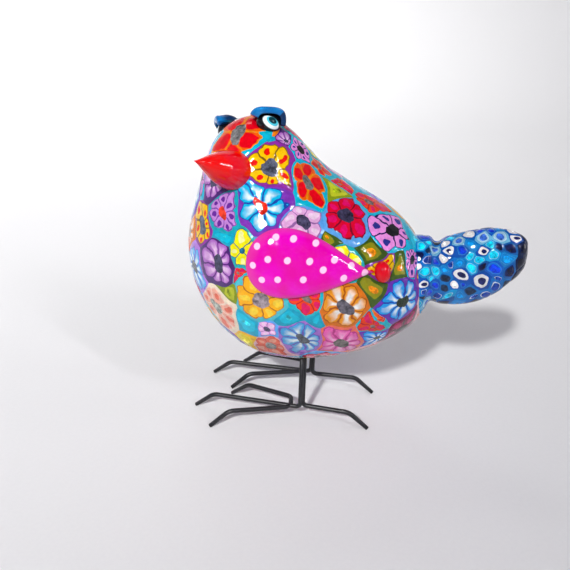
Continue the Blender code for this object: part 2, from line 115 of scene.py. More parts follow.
def hex_colour(code):
    """An sRGB hex code as linear red, green, blue and alpha."""
    parts = [int(code[i:i + 2], 16) / 255 for i in (1, 3, 5)]
    return tuple(c / 12.92 if c <= 0.04045 else ((c + 0.055) / 1.055) ** 2.4 for c in parts) + (1.0,)


# Each cane: petal, heart, core, line round a petal and ring, then how many petals, the core's share of
# the slice, the heart's size, and 1 where the heart is a streak down the petal
CANES = {
    "turquoise": ("#08B4E4", "#E8FAFF", "#E8260C", "#1A46A8", "#7A34B0", 7, 0.27, 0.10, 1.0),
    "lemon": ("#F2C000", "#E81404", "#4C5264", "#7C5A10", "#8A2A9C", 6, 0.38, 0.12, 0.0),
    "poppy": ("#F05A04", "#E60018", "#6E6E70", "#F08C08", "#06B6D4", 5, 0.30, 0.26, 0.0),
    "lilac": ("#C88AE0", "#6A2A9C", "#C83420", "#7E46AC", "#12A8BC", 7, 0.28, 0.13, 0.0),
    "plum": ("#B46CCC", "#F0C8F4", "#3C3C58", "#5E2480", "#4E2A78", 8, 0.36, 0.10, 1.0),
    "blush": ("#F0B4EC", "#F8D8F6", "#44405E", "#A06AB0", "#5CA8F4", 5, 0.34, 0.16, 0.0),
    "ruby": ("#EA0434", "#F00A70", "#34304A", "#8A0C2C", "#62AEF8", 6, 0.34, 0.16, 0.0),
    "orchid": ("#E48CDC", "#2A2E8C", "#0C0E14", "#1A1258", "#06B4D8", 6, 0.34, 0.11, 0.0),
    "amber": ("#FCB404", "#FAD43A", "#8A7E86", "#B8680C", "#4CC0D0", 6, 0.36, 0.14, 0.0),
    "marigold": ("#F8A01C", "#FFFFFF", "#5E5A66", "#B4560C", "#E87A10", 7, 0.34, 0.10, 1.0),
    "primrose": ("#F4EC10", "#F8F8A0", "#1C5A7A", "#2A6A80", "#1CA8B0", 4, 0.22, 0.16, 0.0),
    "sky": ("#4CACEE", "#E8F8FF", "#525A64", "#6A62C8", "#B078DC", 8, 0.30, 0.10, 1.0),
    "rose": ("#EE62B8", "#F8B0DC", "#64605E", "#C03A8A", "#F0705A", 8, 0.34, 0.10, 1.0),
    "ice": ("#18A0F4", "#F0FAFF", "#1E2E20", "#1038B0", "#6A2EB4", 8, 0.30, 0.10, 1.0),
    "ember": ("#F03C08", "#E00860", "#7A6A6A", "#B81420", "#14B8CC", 5, 0.26, 0.20, 0.0),
    # A crimson cane darkened into painted shade, for the underside of the rump
    "crimson_in_painted_shade": ("#8A024A", "#C4006A", "#1A1018", "#3A0826", "#8C0A54", 5, 0.30, 0.20, 0.0),
    "coral": ("#F0705A", "#F8A890", "#8C8C8C", "#D8503C", "#F0B8C0", 5, 0.36, 0.15, 0.0),
    "peach": ("#F6B09C", "#E8705A", "#9AA098", "#F8D8C8", "#F4E4CC", 7, 0.32, 0.13, 0.0),
}
# Plain canes have no petals: face, core, line at the face's edge, ring, and the core's share of the slice
PLAIN_CANES = (
    ("olive", "#8A8A14", "#E88A0C", "#4A6A20", "#3E5A1A", 0.36),
    ("lagoon", "#04C4E4", "#30DCF0", "#04C4E4", "#06A8CC", 0.30),
    ("moss", "#C4CC28", "#A0B414", "#C4CC28", "#8CA018", 0.40),
    ("sun", "#F4E008", "#F8EC50", "#F4E008", "#F0B808", 0.40),
)


def add_plain_canes(rows):
    for name, face, core, line, ring, core_share in rows:
        CANES[name] = (face, face, core, line, ring, 0, core_share, 0.10, 0.0)


add_plain_canes(PLAIN_CANES)

# Slices on the side that is seen best: direction from the body's heart (azimuth from the front toward
# the bird's left, and elevation, in degrees), radius in millimetres, cane and turn
PLACED_CANES = (
    (75, 30, 8.4, "turquoise", 10), (75, 52, 8.2, "lemon", 20), (38, 57, 9.8, "poppy", 30),
    (66, 62, 4.0, "lagoon", 0), (78, 68, 2.4, "plum", 0), (113, 53, 7.0, "poppy", 60),
    (51, 20, 6.8, "lilac", 15), (106, 24, 6.6, "blush", 0), (139, 24, 7.2, "ruby", 20),
    (164, 9, 7.0, "orchid", 0),
    (169, 26, 5.4, "ember", 50), (-169, 10, 5.4, "amber", 0), (144, 2, 3.2, "olive", 0),
    (155, -6, 3.2, "olive", 0), (141, -14, 3.4, "olive", 0), (121, 13, 2.8, "olive", 0),
    (149, 45, 4.0, "moss", 0), (163, 48, 3.4, "ember", 0), (82, -24, 7.6, "amber", 0),
    (128, -23, 7.2, "marigold", 10), (69, 2, 5.0, "primrose", 0), (56, -8, 6.8, "plum", 40),
    (38, 9, 5.0, "lemon", 20), (62, -21, 3.2, "moss", 30), (50, -33, 7.0, "peach", 0),
    (71, -38, 3.4, "lagoon", 0), (98, -32, 2.8, "lagoon", 0), (84, -41, 3.0, "blush", 0),
    (108, -21, 5.4, "ember", 0), (84, -54, 6.2, "coral", 40), (66, -54, 3.4, "sun", 0),
    (108, -45, 7.4, "sky", 20), (131, -44, 7.0, "rose", 0), (155, -20, 7.2, "ice", 0),
    (143, -31, 3.6, "ember", 0), (57, 8, 3.2, "lagoon", 0), (105, 75, 5.0, "orchid", 30),
    (79, 72, 3.8, "plum", 10), (-144, 59, 5.4, "orchid", 0), (-168, 38, 4.6, "lagoon", 0),
    # The crimson cane under the rump is darkened into painted shade
    (38, 34, 5.6, "plum", 20), (175, 1, 4.2, "lagoon", 0), (163, -34, 6.2, "crimson_in_painted_shade", 0),
    (118, -28, 2.8, "lagoon", 0), (43, 70, 4.4, "marigold", 0), (68, -10, 2.8, "ember", 0),
    (147, -27, 2.8, "poppy", 0),
)
FILL_RADII = (6.8, 5.0, 3.4)
FILL_KINDS = ("turquoise", "lemon", "poppy", "lilac", "blush", "ruby", "orchid", "plum", "amber", "marigold",
              "primrose", "sky", "rose", "ice", "ember", "plum", "coral")
# Slices are pressed together until they overlap by this much. Their borders waver by up to this much.
SLICE_OVERLAP = 0.0009
BORDER_WAVER = 0.00085
# Each slice is a low dome, with a fine groove round it, and the roller left soft waves in it
DOME_HEIGHT = 0.00016
GROOVE_WIDTH = 0.00055
GROOVE_DEPTH = 0.00008
ROLLER_WAVES = 0.00006


def placed_directions(rows):
    """The directions that the first two numbers of each row give in degrees."""
    turns = np.radians([row[0] for row in rows])
    rises = np.radians([row[1] for row in rows])
    return np.stack([np.sin(turns) * np.cos(rises), -np.cos(turns) * np.cos(rises), np.sin(rises)], axis=1)


def lay_canes(rows, places, trial_places, fill_radii, kinds, seed):
    """Adds slices at trial places, the widest first, wherever one fits between those that lie already."""
    random = np.random.default_rng(seed)
    centres = list(places)
    radii = [row[2] / 1000 for row in rows]
    names = [row[3] for row in rows]
    turns = [radians(row[4]) for row in rows]
    for radius in fill_radii:
        for place in trial_places:
            apart = np.linalg.norm(np.array(centres) - place, axis=1)
            if (apart > np.array(radii) + radius / 1000 - SLICE_OVERLAP).all():
                centres.append(place)
                radii.append(radius / 1000)
                names.append(kinds[random.integers(len(kinds))])
                turns.append(random.uniform(0.0, 2 * pi))
    return np.array(centres), np.array(radii), names, np.array(turns)


def bent(points):
    """Places moved back and forth in waves 15 and 9 mm long, so that slices meet in curved lines."""
    waves = np.sin(points[:, [1, 2, 0]] * 430.0 + 1.3) + 0.7 * np.sin(points[:, [2, 0, 1]] * 710.0)
    return points + BORDER_WAVER * waves


def cut_into_slices(points, triangles, centres, radii):
    """Cuts a skin of triangles along the lines where the slices meet, which are flat cuts through it."""
    power = ((bent(points)[:, None, :] - bent(centres)) ** 2).sum(axis=2) - radii ** 2
    nearest = power.argmin(axis=1)
    owners = nearest[triangles]
    corners, cells = [], []

    def crossing(first, second, one, other):
        """The point of an edge that is as near to one slice as to the other."""
        at_first = power[first, one] - power[first, other]
        at_second = power[second, one] - power[second, other]
        share = np.clip(at_first / (at_first - at_second), 0.0, 1.0)
        return points[first] + share[:, None] * (points[second] - points[first])

    def add(a, b, c, owner):
        corners.append(np.stack([a, b, c], axis=1))
        cells.append(owner)

    whole = (owners[:, 0] == owners[:, 1]) & (owners[:, 1] == owners[:, 2])
    add(*points[triangles[whole]].transpose(1, 0, 2), owners[whole, 0])
    for odd in range(3):
        order = [(odd + k) % 3 for k in range(3)]
        split = (~whole) & (owners[:, order[1]] == owners[:, order[2]])
        a, b, c = triangles[split][:, order].T
        one, other = nearest[a], nearest[b]
        on_ab = crossing(a, b, one, other)
        on_ac = crossing(a, c, one, other)
        add(points[a], on_ab, on_ac, one)
        add(on_ab, points[b], points[c], other)
        add(on_ab, points[c], on_ac, other)
    three = (owners[:, 0] != owners[:, 1]) & (owners[:, 1] != owners[:, 2]) & (owners[:, 0] != owners[:, 2])
    trio = triangles[three]
    if len(trio):
        own = nearest[trio]
        rows = np.stack([
            np.ones((len(trio), 3)),
            np.take_along_axis(power[trio], own[:, None, 0:1], 2)[..., 0]
            - np.take_along_axis(power[trio], own[:, None, 1:2], 2)[..., 0],
            np.take_along_axis(power[trio], own[:, None, 0:1], 2)[..., 0]
            - np.take_along_axis(power[trio], own[:, None, 2:3], 2)[..., 0],
        ], axis=1)
        sides = np.tile(np.array([1.0, 0.0, 0.0]), (len(trio), 1))
        shares = np.clip(np.linalg.solve(rows, sides[..., None])[..., 0], 0.02, None)
        shares /= shares.sum(axis=1)[:, None]
        middle = (points[trio] * shares[..., None]).sum(axis=1)
        for k in range(3):
            a, b, c = trio[:, k], trio[:, (k + 1) % 3], trio[:, (k + 2) % 3]
            add(points[a], crossing(a, b, nearest[a], nearest[b]), middle, nearest[a])
            add(points[a], middle, crossing(a, c, nearest[a], nearest[c]), nearest[a])
    corners = np.concatenate(corners)
    cells = np.concatenate(cells)
    keys = np.concatenate([np.round(corners.reshape(-1, 3) * 1e7).astype(np.int64),
                           np.repeat(cells, 3)[:, None]], axis=1)
    _, first, index = np.unique(keys, axis=0, return_index=True, return_inverse=True)
    faces = index.reshape(-1, 3)
    solid = (faces[:, 0] != faces[:, 1]) & (faces[:, 1] != faces[:, 2]) & (faces[:, 0] != faces[:, 2])
    return corners.reshape(-1, 3)[first], np.repeat(cells, 3)[first], faces[solid]


def slice_skin(name, points, triangles, normals_of, canes, material):
    """A skin of cane slices: each is a low dome that runs down to a fine groove where it meets the next."""
    centres, radii, names, turns = canes
    places, cells, faces = cut_into_slices(points, triangles, centres, radii)
    normals = normals_of(places)
    power = ((bent(places)[:, None, :] - bent(centres)) ** 2).sum(axis=2) - radii ** 2
    own = np.take_along_axis(power, cells[:, None], 1)
    apart = 2 * np.linalg.norm(bent(centres)[cells][:, None, :] - bent(centres)[None], axis=2)
    edge = np.where(np.arange(len(centres)) == cells[:, None], 1.0, (power - own) / np.maximum(apart, 1e-9))
    edge = np.maximum(edge.min(axis=1), 0.0)
    middle_normals = normals_of(centres)
    first = np.cross(middle_normals, np.array([0.31, 0.52, 0.80]))
    first /= np.linalg.norm(first, axis=1)[:, None]
    second = np.cross(middle_normals, first)
    away = places - centres[cells]
    x = (away * first[cells]).sum(axis=1)
    y = (away * second[cells]).sum(axis=1)
    reach = np.hypot(x, y)
    share = reach / np.maximum(reach + edge, 1e-9)
    angle = np.arctan2(y, x) + turns[cells]
    long_waves = (np.sin(places @ np.array([520.0, 310.0, 410.0]))
                  * np.sin(places @ np.array([-280.0, 540.0, 330.0])))
    waves = long_waves + 0.6 * np.sin(places @ np.array([910.0, -420.0, 700.0]))
    height = DOME_HEIGHT * (1.0 - np.exp(-edge / GROOVE_WIDTH)) - GROOVE_DEPTH + ROLLER_WAVES * waves
    mesh = bpy.data.meshes.new(name)
    mesh.from_pydata((places + normals * height[:, None]).tolist(), [], faces.tolist())
    mesh.shade_smooth()
    # Each slice was squeezed a little one way, which shows most in its core
    squeeze = np.random.default_rng(9).uniform(0.0, 0.42, size=len(centres))[cells] * (1.0 - share)
    uv = np.stack([share * np.cos(angle) * (1.0 - squeeze), share * np.sin(angle) * (1.0 + squeeze)], axis=1)
    loops = np.empty(len(mesh.loops), dtype=np.int32)
    mesh.loops.foreach_get("vertex_index", loops)
    mesh.uv_layers.new(name="slice").data.foreach_set("uv", uv[loops].astype(np.float32).ravel())
    table = np.array([[hex_colour(code) for code in CANES[cane][:5]] for cane in names])
    # Petals are counted in sixteenths here, and the material multiplies them by 16 again
    form = np.array([[CANES[cane][5] / 16, CANES[cane][6], CANES[cane][7], CANES[cane][8]] for cane in names])
    # Slices of one cane differ a little in how deep their colour is
    shades = np.random.default_rng(5).uniform(0.86, 1.1, size=(len(names), 1, 1))
    table[..., :3] *= shades
    for i, layer in enumerate(("petal", "heart", "core", "line", "ring")):
        made = mesh.attributes.new(layer, "FLOAT_COLOR", "POINT")
        made.data.foreach_set("color", table[cells, i].astype(np.float32).ravel())
    made = mesh.attributes.new("form", "FLOAT_COLOR", "POINT")
    made.data.foreach_set("color", form[cells].astype(np.float32).ravel())
    mesh.materials.append(material)
    made = bpy.data.objects.new(name, mesh)
    bpy.context.collection.objects.link(made)
    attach(made, "root")
    return made


def add_node(tree, kind, settings, links):
    """Adds one node. Its links are sockets or values for its inputs, which go by name or number."""
    made = tree.nodes.new(kind)
    for key, value in settings.items():
        setattr(made, key, value)
    for key, value in links.items():
        if isinstance(value, bpy.types.NodeSocket):
            tree.links.new(value, made.inputs[key])
        else:
            made.inputs[key].default_value = value
    return made


def new_material(name, values):
    """A new material, its node tree and its shader, with values for the shader's inputs."""
    material = bpy.data.materials.new(name)
    material.use_nodes = True
    shader = material.node_tree.nodes["Principled BSDF"]
    for key, value in values.items():
        shader.inputs[key].default_value = value
    return material, material.node_tree, shader


def varnished_clay(name, clay_roughness, varnish_roughness):
    """A material of varnished clay. The varnish wets the clay, so only the varnish mirrors anything."""
    return new_material(name, {"Roughness": clay_roughness, "Specular IOR Level": 0.0, "Coat Weight": 1.0,
                               "Coat Roughness": varnish_roughness, "Coat IOR": 1.45})


def uneven_surface(tree, shader, place, scale, strength):
    """Soft waves in the clay and its varnish, about one over the scale long, in metres."""
    waves = add_node(tree, "ShaderNodeTexNoise", {}, {"Vector": place, "Scale": scale, "Detail": 2.0})
    bumps = add_node(tree, "ShaderNodeBump", {},
                     {"Strength": strength, "Distance": 0.0006, "Height": waves.outputs[0]})
    for name in ("Normal", "Coat Normal"):
        tree.links.new(bumps.outputs[0], shader.inputs[name])


# Polymer clay cane slices under brushed gloss varnish: the clay is matt vinyl, and the varnish over it
# gives small sharp window-like lights that break where the slices meet.
cane_clay, tree, shader = varnished_clay("varnished_polymer_clay_cane_slices", 0.40, 0.035)

where = add_node(tree, "ShaderNodeTexCoord", {}, {}).outputs["Object"]
slice_place = add_node(tree, "ShaderNodeUVMap", {"uv_map": "slice"}, {})
# The canes are squeezed by hand, so their lines waver over about 3 mm
waver = add_node(tree, "ShaderNodeTexNoise", {}, {"Vector": where, "Scale": 330.0, "Detail": 1.5})
centred = add_node(tree, "ShaderNodeVectorMath", {"operation": "SUBTRACT"},
                   {0: waver.outputs["Color"], 1: (0.5, 0.5, 0.5)})
warped = add_node(tree, "ShaderNodeVectorMath", {"operation": "MULTIPLY_ADD"},
                  {0: centred.outputs[0], 1: (0.34, 0.34, 0.0), 2: slice_place.outputs[0]})
split = add_node(tree, "ShaderNodeSeparateXYZ", {}, {0: warped.outputs[0]})
form = add_node(tree, "ShaderNodeAttribute", {"attribute_name": "form"}, {})
form_parts = add_node(tree, "ShaderNodeSeparateColor", {}, {0: form.outputs["Color"]})
made = {
    "x": split.outputs[0],
    "y": split.outputs[1],
    "count": form_parts.outputs[0],
    "core size": form_parts.outputs[1],
    "heart size": form_parts.outputs[2],
    "streaked": form.outputs["Alpha"],
}
# How a slice is drawn. Each row is a sum: its name, what is done, and what it is done with. Reach is 0 in
# the middle of a slice and 1 at its edge, and aside is 0 along a petal and 1 between two petals.
FLOWER_SUMS = (
    ("x x", "MULTIPLY", "x", "x"),
    ("reach reach", "MULTIPLY_ADD", "y", "y", "x x"),
    ("reach", "SQRT", "reach reach"),
    ("angle", "ARCTAN2", "y", "x"),
    ("round", "DIVIDE", "angle", 2 * pi),
    ("petals", "MULTIPLY", "count", 16.0),
    ("petal turn", "MULTIPLY_ADD", "round", "petals", 64.0),
    ("in petal", "FRACT", "petal turn"),
    ("off axis", "SUBTRACT", "in petal", 0.5),
    ("half aside", "ABSOLUTE", "off axis"),
    ("aside", "MULTIPLY", "half aside", 2.0),
    ("at least one", "MAXIMUM", "petals", 1.0),
    ("half turn", "DIVIDE", pi, "at least one"),
    ("half width", "MULTIPLY", "half turn", "reach"),
    ("to axis", "MULTIPLY", "aside", "half width"),
    ("to line", "SUBTRACT", "half width", "to axis"),
    ("off line", "GREATER_THAN", "to line", 0.034),
    ("no petals", "LESS_THAN", "petals", 0.5),
    ("body of petal", "MAXIMUM", "off line", "no petals"),
    ("rounding", "POWER", "aside", 3.0),
    ("lean", "COSINE", "angle"),
    ("leaning end", "MULTIPLY_ADD", "lean", 0.06, 0.86),
    ("petal end", "MULTIPLY_ADD", "rounding", -0.15, "leaning end"),
    ("inside end", "LESS_THAN", "reach", "petal end"),
    ("petal share", "MULTIPLY", "body of petal", "inside end"),
    ("line end", "ADD", "petal end", 0.045),
    ("line share", "LESS_THAN", "reach", "line end"),
    ("along heart", "SUBTRACT", "reach", 0.64),
    ("long heart", "MULTIPLY", "heart size", 1.3),
    ("heart y", "DIVIDE", "along heart", "long heart"),
    ("heart x", "DIVIDE", "to axis", "heart size"),
    ("heart y y", "MULTIPLY", "heart y", "heart y"),
    ("heart reach", "MULTIPLY_ADD", "heart x", "heart x", "heart y y"),
    ("dot", "LESS_THAN", "heart reach", 1.0),
    ("streak fade", "SUBTRACT", 0.82, "reach"),
    ("streak length", "MULTIPLY", "streak fade", 3.2),
    ("streak side", "SUBTRACT", 0.62, "aside"),
    ("streak width", "MULTIPLY", "streak side", 2.6),
    ("streak", "MINIMUM", "streak length", "streak width"),
    ("drawn streak", "MULTIPLY", "streak", "streaked"),
    ("no streak", "SUBTRACT", 1.0, "streaked"),
    ("drawn dot", "MULTIPLY", "dot", "no streak"),
    ("heart", "MAXIMUM", "drawn streak", "drawn dot"),
    ("some heart", "MAXIMUM", "heart", 0.0),
    ("heart share", "MULTIPLY", "some heart", "petal share"),
    ("core share", "LESS_THAN", "reach", "core size"),
)
for name, operation, *parts in FLOWER_SUMS:
    links = {i: made.get(part, part) for i, part in enumerate(parts)}
    made[name] = add_node(tree, "ShaderNodeMath", {"operation": operation}, links).outputs[0]
# The ring lies lowest, and each next colour lies over it
pattern = add_node(tree, "ShaderNodeAttribute", {"attribute_name": "ring"}, {}).outputs["Color"]
for layer in ("line", "petal", "heart", "core"):
    over = add_node(tree, "ShaderNodeAttribute", {"attribute_name": layer}, {}).outputs["Color"]
    pattern = add_node(tree, "ShaderNodeMix", {"data_type": "RGBA"},
                       {0: made[layer + " share"], 6: pattern, 7: over}).outputs[2]
# Clay that wasn't kneaded through is paler and darker in streaks 1 to 2 mm long, most of all in a core
streaks = add_node(tree, "ShaderNodeTexNoise", {},
                   {"Vector": where, "Scale": 620.0, "Detail": 3.0, "Roughness": 0.65})
darkest = add_node(tree, "ShaderNodeMapRange", {}, {0: made["core share"], 3: 0.72, 4: 0.36})
palest = add_node(tree, "ShaderNodeMapRange", {}, {0: made["core share"], 3: 0.96, 4: 1.70})
shade = add_node(tree, "ShaderNodeMapRange", {},
                 {0: streaks.outputs[0], 1: 0.35, 2: 0.68, 3: darkest.outputs[0], 4: palest.outputs[0]})
shaded = add_node(tree, "ShaderNodeVectorMath", {"operation": "SCALE"},
                  {0: pattern, "Scale": shade.outputs[0]})
tree.links.new(shaded.outputs[0], shader.inputs["Base Color"])
# Brushed varnish pools unevenly, in waves of about 3 mm
uneven_surface(tree, shader, where, 300.0, 0.5)


def blown_grid(cuts):
    """Directions spread evenly over a ball, from the six faces of a cube, and triangles between them."""
    steps = np.tan(np.linspace(-1.0, 1.0, cuts + 1) * pi / 4)
    u, v = np.meshgrid(steps, steps, indexing="ij")
    one = np.ones_like(u)
    index = np.arange((cuts + 1) ** 2).reshape(cuts + 1, cuts + 1)
    a, b, c, d = index[:-1, :-1], index[1:, :-1], index[1:, 1:], index[:-1, 1:]
    quads = np.concatenate([np.stack(half, axis=2).reshape(-1, 3) for half in ([a, b, c], [a, c, d])])
    sides = [(u, v, one), (v, u, -one), (one, u, v), (-one, v, u), (v, one, u), (u, -one, v)]
    points = np.concatenate([np.stack(side, axis=2).reshape(-1, 3) for side in sides])
    triangles = np.concatenate([quads + k * (cuts + 1) ** 2 for k in range(6)])
    return points / np.linalg.norm(points, axis=1)[:, None], triangles


BODY_CUTS = 90
BODY_TRIALS = 2600
directions, triangles = blown_grid(BODY_CUTS)
skin_points = clay_surface(HEART, directions)
trials = np.random.default_rng(11).normal(size=(BODY_TRIALS, 3))
trials = clay_surface(HEART, trials / np.linalg.norm(trials, axis=1)[:, None])
places = clay_surface(HEART, placed_directions(PLACED_CANES))
body_canes = lay_canes(PLACED_CANES, places, trials, FILL_RADII, FILL_KINDS, 3)
body_skin = slice_skin("body_cane_slices", skin_points, triangles, clay_normals, body_canes, cane_clay)
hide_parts("body")


# Beak
# One cone of red polymer clay, rolled to a point between the fingers and pressed on the face. It is
# varnished like the rest.

HEAD_TURN = radians(62.7)
HEAD_RAISE = radians(19.8)
HEAD_TILT = radians(14.0)
BEAK_LENGTH = 0.0189
BEAK_DIAMETER = 0.0112
BEAK_ROOT = 0.0030
BEAK_FULLNESS = 1.22
BEAK_SHOULDER = 0.054
BEAK_ROLL = 0.12
BEAK_OUT = radians(12.0)
BEAK_DROP = radians(-11.2)
BEAK_TURN = radians(8.7)
BEAK_LIFT = radians(-2.2)
# The point is rubbed blunt, so the cone stops this share of the way to it
BEAK_BLUNT = 0.985
BEAK_STEPS = 60
BEAK_SIDES = 64


def head_axes():
    """The head's own directions: forward, to its left, and up."""
    turned = Vector((sin(HEAD_TURN), -cos(HEAD_TURN), 0.0))
    level_left = Vector((cos(HEAD_TURN), sin(HEAD_TURN), 0.0))
    forward = turned * cos(HEAD_RAISE) + Vector((0.0, 0.0, sin(HEAD_RAISE)))
    raised = Vector((0.0, 0.0, cos(HEAD_RAISE))) - turned * sin(HEAD_RAISE)
    left = level_left * cos(HEAD_TILT) + raised * sin(HEAD_TILT)
    return forward, left, raised * cos(HEAD_TILT) - level_left * sin(HEAD_TILT)


def head_direction(out_angle, up_angle):
    """A direction so far to the left of the face's front, and so far above it."""
    forward, left, up = head_axes()
    level = forward * cos(out_angle) + left * sin(out_angle)
    return level * cos(up_angle) + up * sin(up_angle)


def on_head(direction, height):
    """The place in a direction from the middle of the head, at a height over its clay."""
    place = clay_surface(HEAD_CENTRE, np.array([direction]))[0]
    return Vector(place) + direction * height


def ringed_piece(name, rings, material):
    """A mesh of rings of points joined by quads, its ends closed by fans."""
    bm = bmesh.new()
    rows = [[bm.verts.new(point) for point in ring] for ring in rings]
    count = len(rows[0])
    for lower, upper in zip(rows, rows[1:]):
        for i in range(count):
            j = (i + 1) % count
            bm.faces.new((lower[i], lower[j], upper[j], upper[i]))
    for row in (rows[0], rows[-1]):
        middle = bm.verts.new(sum((vertex.co for vertex in row), Vector()) / count)
        for i in range(count):
            bm.faces.new((row[i], row[(i + 1) % count], middle))
    bmesh.ops.recalc_face_normals(bm, faces=bm.faces)
    mesh = bpy.data.meshes.new(name)
    bm.to_mesh(mesh)
    bm.free()
    mesh.shade_smooth()
    mesh.materials.append(material)
    made = bpy.data.objects.new(name, mesh)
    bpy.context.collection.objects.link(made)
    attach(made, "root")
    return made


# Red polymer clay under gloss varnish: a pure red that goes a little crimson in smears
red_clay, tree, shader = varnished_clay("varnished_red_polymer_clay", 0.35, 0.03)
where = add_node(tree, "ShaderNodeTexCoord", {}, {}).outputs["Object"]
smears = add_node(tree, "ShaderNodeTexNoise", {}, {"Vector": where, "Scale": 180.0, "Detail": 2.0})
smear = add_node(tree, "ShaderNodeMapRange", {}, {0: smears.outputs[0], 1: 0.45, 2: 0.75})
red = add_node(tree, "ShaderNodeMix", {"data_type": "RGBA"},
               {0: smear.outputs[0], 6: hex_colour("#F00202"), 7: hex_colour("#EA002A")})
tree.links.new(red.outputs[2], shader.inputs["Base Color"])
# Fingers left flats and hollows about 4 mm apart
uneven_surface(tree, shader, where, 240.0, 0.35)

forward, left, up = head_axes()
beak_axis = forward * cos(BEAK_LIFT) + up * sin(BEAK_LIFT)
beak_axis = (beak_axis * cos(BEAK_TURN) + left * sin(BEAK_TURN)).normalized()
beak_side = (left - beak_axis * left.dot(beak_axis)).normalized()
beak_top = beak_axis.cross(beak_side)
beak_base = on_head(head_direction(BEAK_OUT, BEAK_DROP), -BEAK_ROOT)
turns = [2 * pi * k / BEAK_SIDES for k in range(BEAK_SIDES)]
rings = []
for step in range(BEAK_STEPS + 1):
    share = BEAK_BLUNT * step / BEAK_STEPS
    if share < BEAK_SHOULDER:
        full = 1.0 - BEAK_ROLL * (1.0 - share / BEAK_SHOULDER) ** 2
    else:
        full = sin(pi / 2 * (1.0 - share) / (1.0 - BEAK_SHOULDER)) ** BEAK_FULLNESS
    middle = beak_base + beak_axis * (BEAK_LENGTH + BEAK_ROOT) * share
    rings.append([middle + BEAK_DIAMETER / 2 * full * (beak_side * cos(turn) + beak_top * sin(turn))
                  for turn in turns])
beak = ringed_piece("beak_cone", rings, red_clay)
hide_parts("beak")


# Eyes
# Each is a flattened ball of black clay. A white disc with a dark pupil was rolled in flat on its front.

EYE_PLACES = {"left": (radians(52.0), radians(44.0)), "right": (radians(73.0), radians(49.5))}
# Half its depth, width and height
EYE_HALVES = (0.0058 / 2, 0.0073 / 2, 0.0056 / 2)
EYE_STAND_OFF = 0.0006
EYE_SIDES = 48
GAZE_OUT = radians(43.0)
GAZE_UP = radians(-11.0)
# The right eye glances a little further out, in millimetres
GLANCE = {"left": 0.0, "right": 0.6}


def eye_frame(hand):
    """The eye's middle, and its directions: gaze, across to the outer corner, and to the top."""
    eye_out, eye_up = EYE_PLACES["left" if hand > 0 else "right"]
    middle = on_head(head_direction(hand * eye_out, eye_up), EYE_STAND_OFF)
    gaze = head_direction(hand * GAZE_OUT, GAZE_UP)
    upward = head_axes()[2]
    top = (upward - gaze * upward.dot(gaze)).normalized()
    return middle, gaze, top.cross(gaze) * hand, top


def ball_rings(middle, axes, halves, sides):
    """Rings round the first axis of a flattened ball."""
    rows = sides // 2
    rings = []
    for row in range(1, rows):
        tilt = pi * row / rows
        rings.append([middle + axes[0] * halves[0] * cos(tilt)
                      + axes[1] * halves[1] * sin(tilt) * cos(2 * pi * k / sides)
                      + axes[2] * halves[2] * sin(tilt) * sin(2 * pi * k / sides) for k in range(sides)])
    return rings


# Black and white clay under gloss varnish, like wet eyes, with a cyan ring and a dark teal pupil on the
# white.
# Each spot is a flat oval: its colour, its middle across and up from the eye's, its half length and half
# height, all in millimetres, and its turn
EYE_SPOTS = (
    ("#EDF6F8", 0.35, 0.18, 2.55, 1.50, -30.0),
    ("#48C4DC", 0.75, 0.55, 1.85, 1.05, -30.0),
    ("#06343E", 0.80, 0.80, 1.25, 0.80, -30.0),
)
eye_clay, tree, shader = varnished_clay("varnished_black_and_white_polymer_clay", 0.30, 0.02)
face_place = add_node(tree, "ShaderNodeUVMap", {"uv_map": "face"}, {})
smudges = add_node(tree, "ShaderNodeTexNoise", {},
                   {"Vector": face_place.outputs[0], "Scale": 1.6, "Detail": 2.0})
face = add_node(tree, "ShaderNodeMix", {"data_type": "RGBA"},
                {0: smudges.outputs[0], 6: hex_colour("#06070C"), 7: hex_colour("#14161F")}).outputs[2]
for code, across, up_by, half_length, half_height, turn in EYE_SPOTS:
    spot = add_node(tree, "ShaderNodeMapping", {"vector_type": "TEXTURE"},
                    {0: face_place.outputs[0], "Location": (across, up_by, 0.0),
                     "Rotation": (0.0, 0.0, radians(turn)), "Scale": (half_length, half_height, 1.0)})
    away = add_node(tree, "ShaderNodeVectorMath", {"operation": "LENGTH"}, {0: spot.outputs[0]})
    inside = add_node(tree, "ShaderNodeMapRange", {}, {0: away.outputs["Value"], 1: 1.06, 2: 0.94})
    face = add_node(tree, "ShaderNodeMix", {"data_type": "RGBA"},
                    {0: inside.outputs[0], 6: face, 7: hex_colour(code)}).outputs[2]
tree.links.new(face, shader.inputs["Base Color"])
for hand, side in ((1, "left"), (-1, "right")):
    middle, gaze, across, top = eye_frame(hand)
    rings = ball_rings(middle, (gaze, across, top), EYE_HALVES, EYE_SIDES)
    eye = ringed_piece("eye_ball_" + side, rings, eye_clay)
    layer = eye.data.uv_layers.new(name="face")
    for loop in eye.data.loops:
        away = eye.data.vertices[loop.vertex_index].co - middle
        in_front = (away.dot(across) * 1000 - GLANCE[side], away.dot(top) * 1000)
        layer.data[loop.index].uv = in_front if away.dot(gaze) > 0 else (9.0, 9.0)
    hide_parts("eye_" + side)


# Eyelids
# Each is a strip of pearl-blue clay, bent over the eye as a hood that runs forward into a flat peak.

LID_OUTER_WALL = 0.0009
LID_INNER_WALL = 0.0019
LID_CROWN = 0.0015
LID_PEAK = 0.0034
LID_CORNER = 0.0016
# The right lid runs further forward at its inner end
RIGHT_LID_INNER_CORNER = 0.0029
LID_HANG = 0.20
LID_SWEEPS = (radians(-74.0), radians(93.0))
LID_POWER = 2.0 / 3.2
LID_STEPS = 24
# Half the section of a lid, from the back of the eye to its front: place along the eye's depth, and size
LID_SECTION = ((-1.0, 0.12), (-0.85, 0.58), (-0.5, 0.89), (0.0, 1.0), (0.40, 0.94))
SEAT_GAP = 0.0003
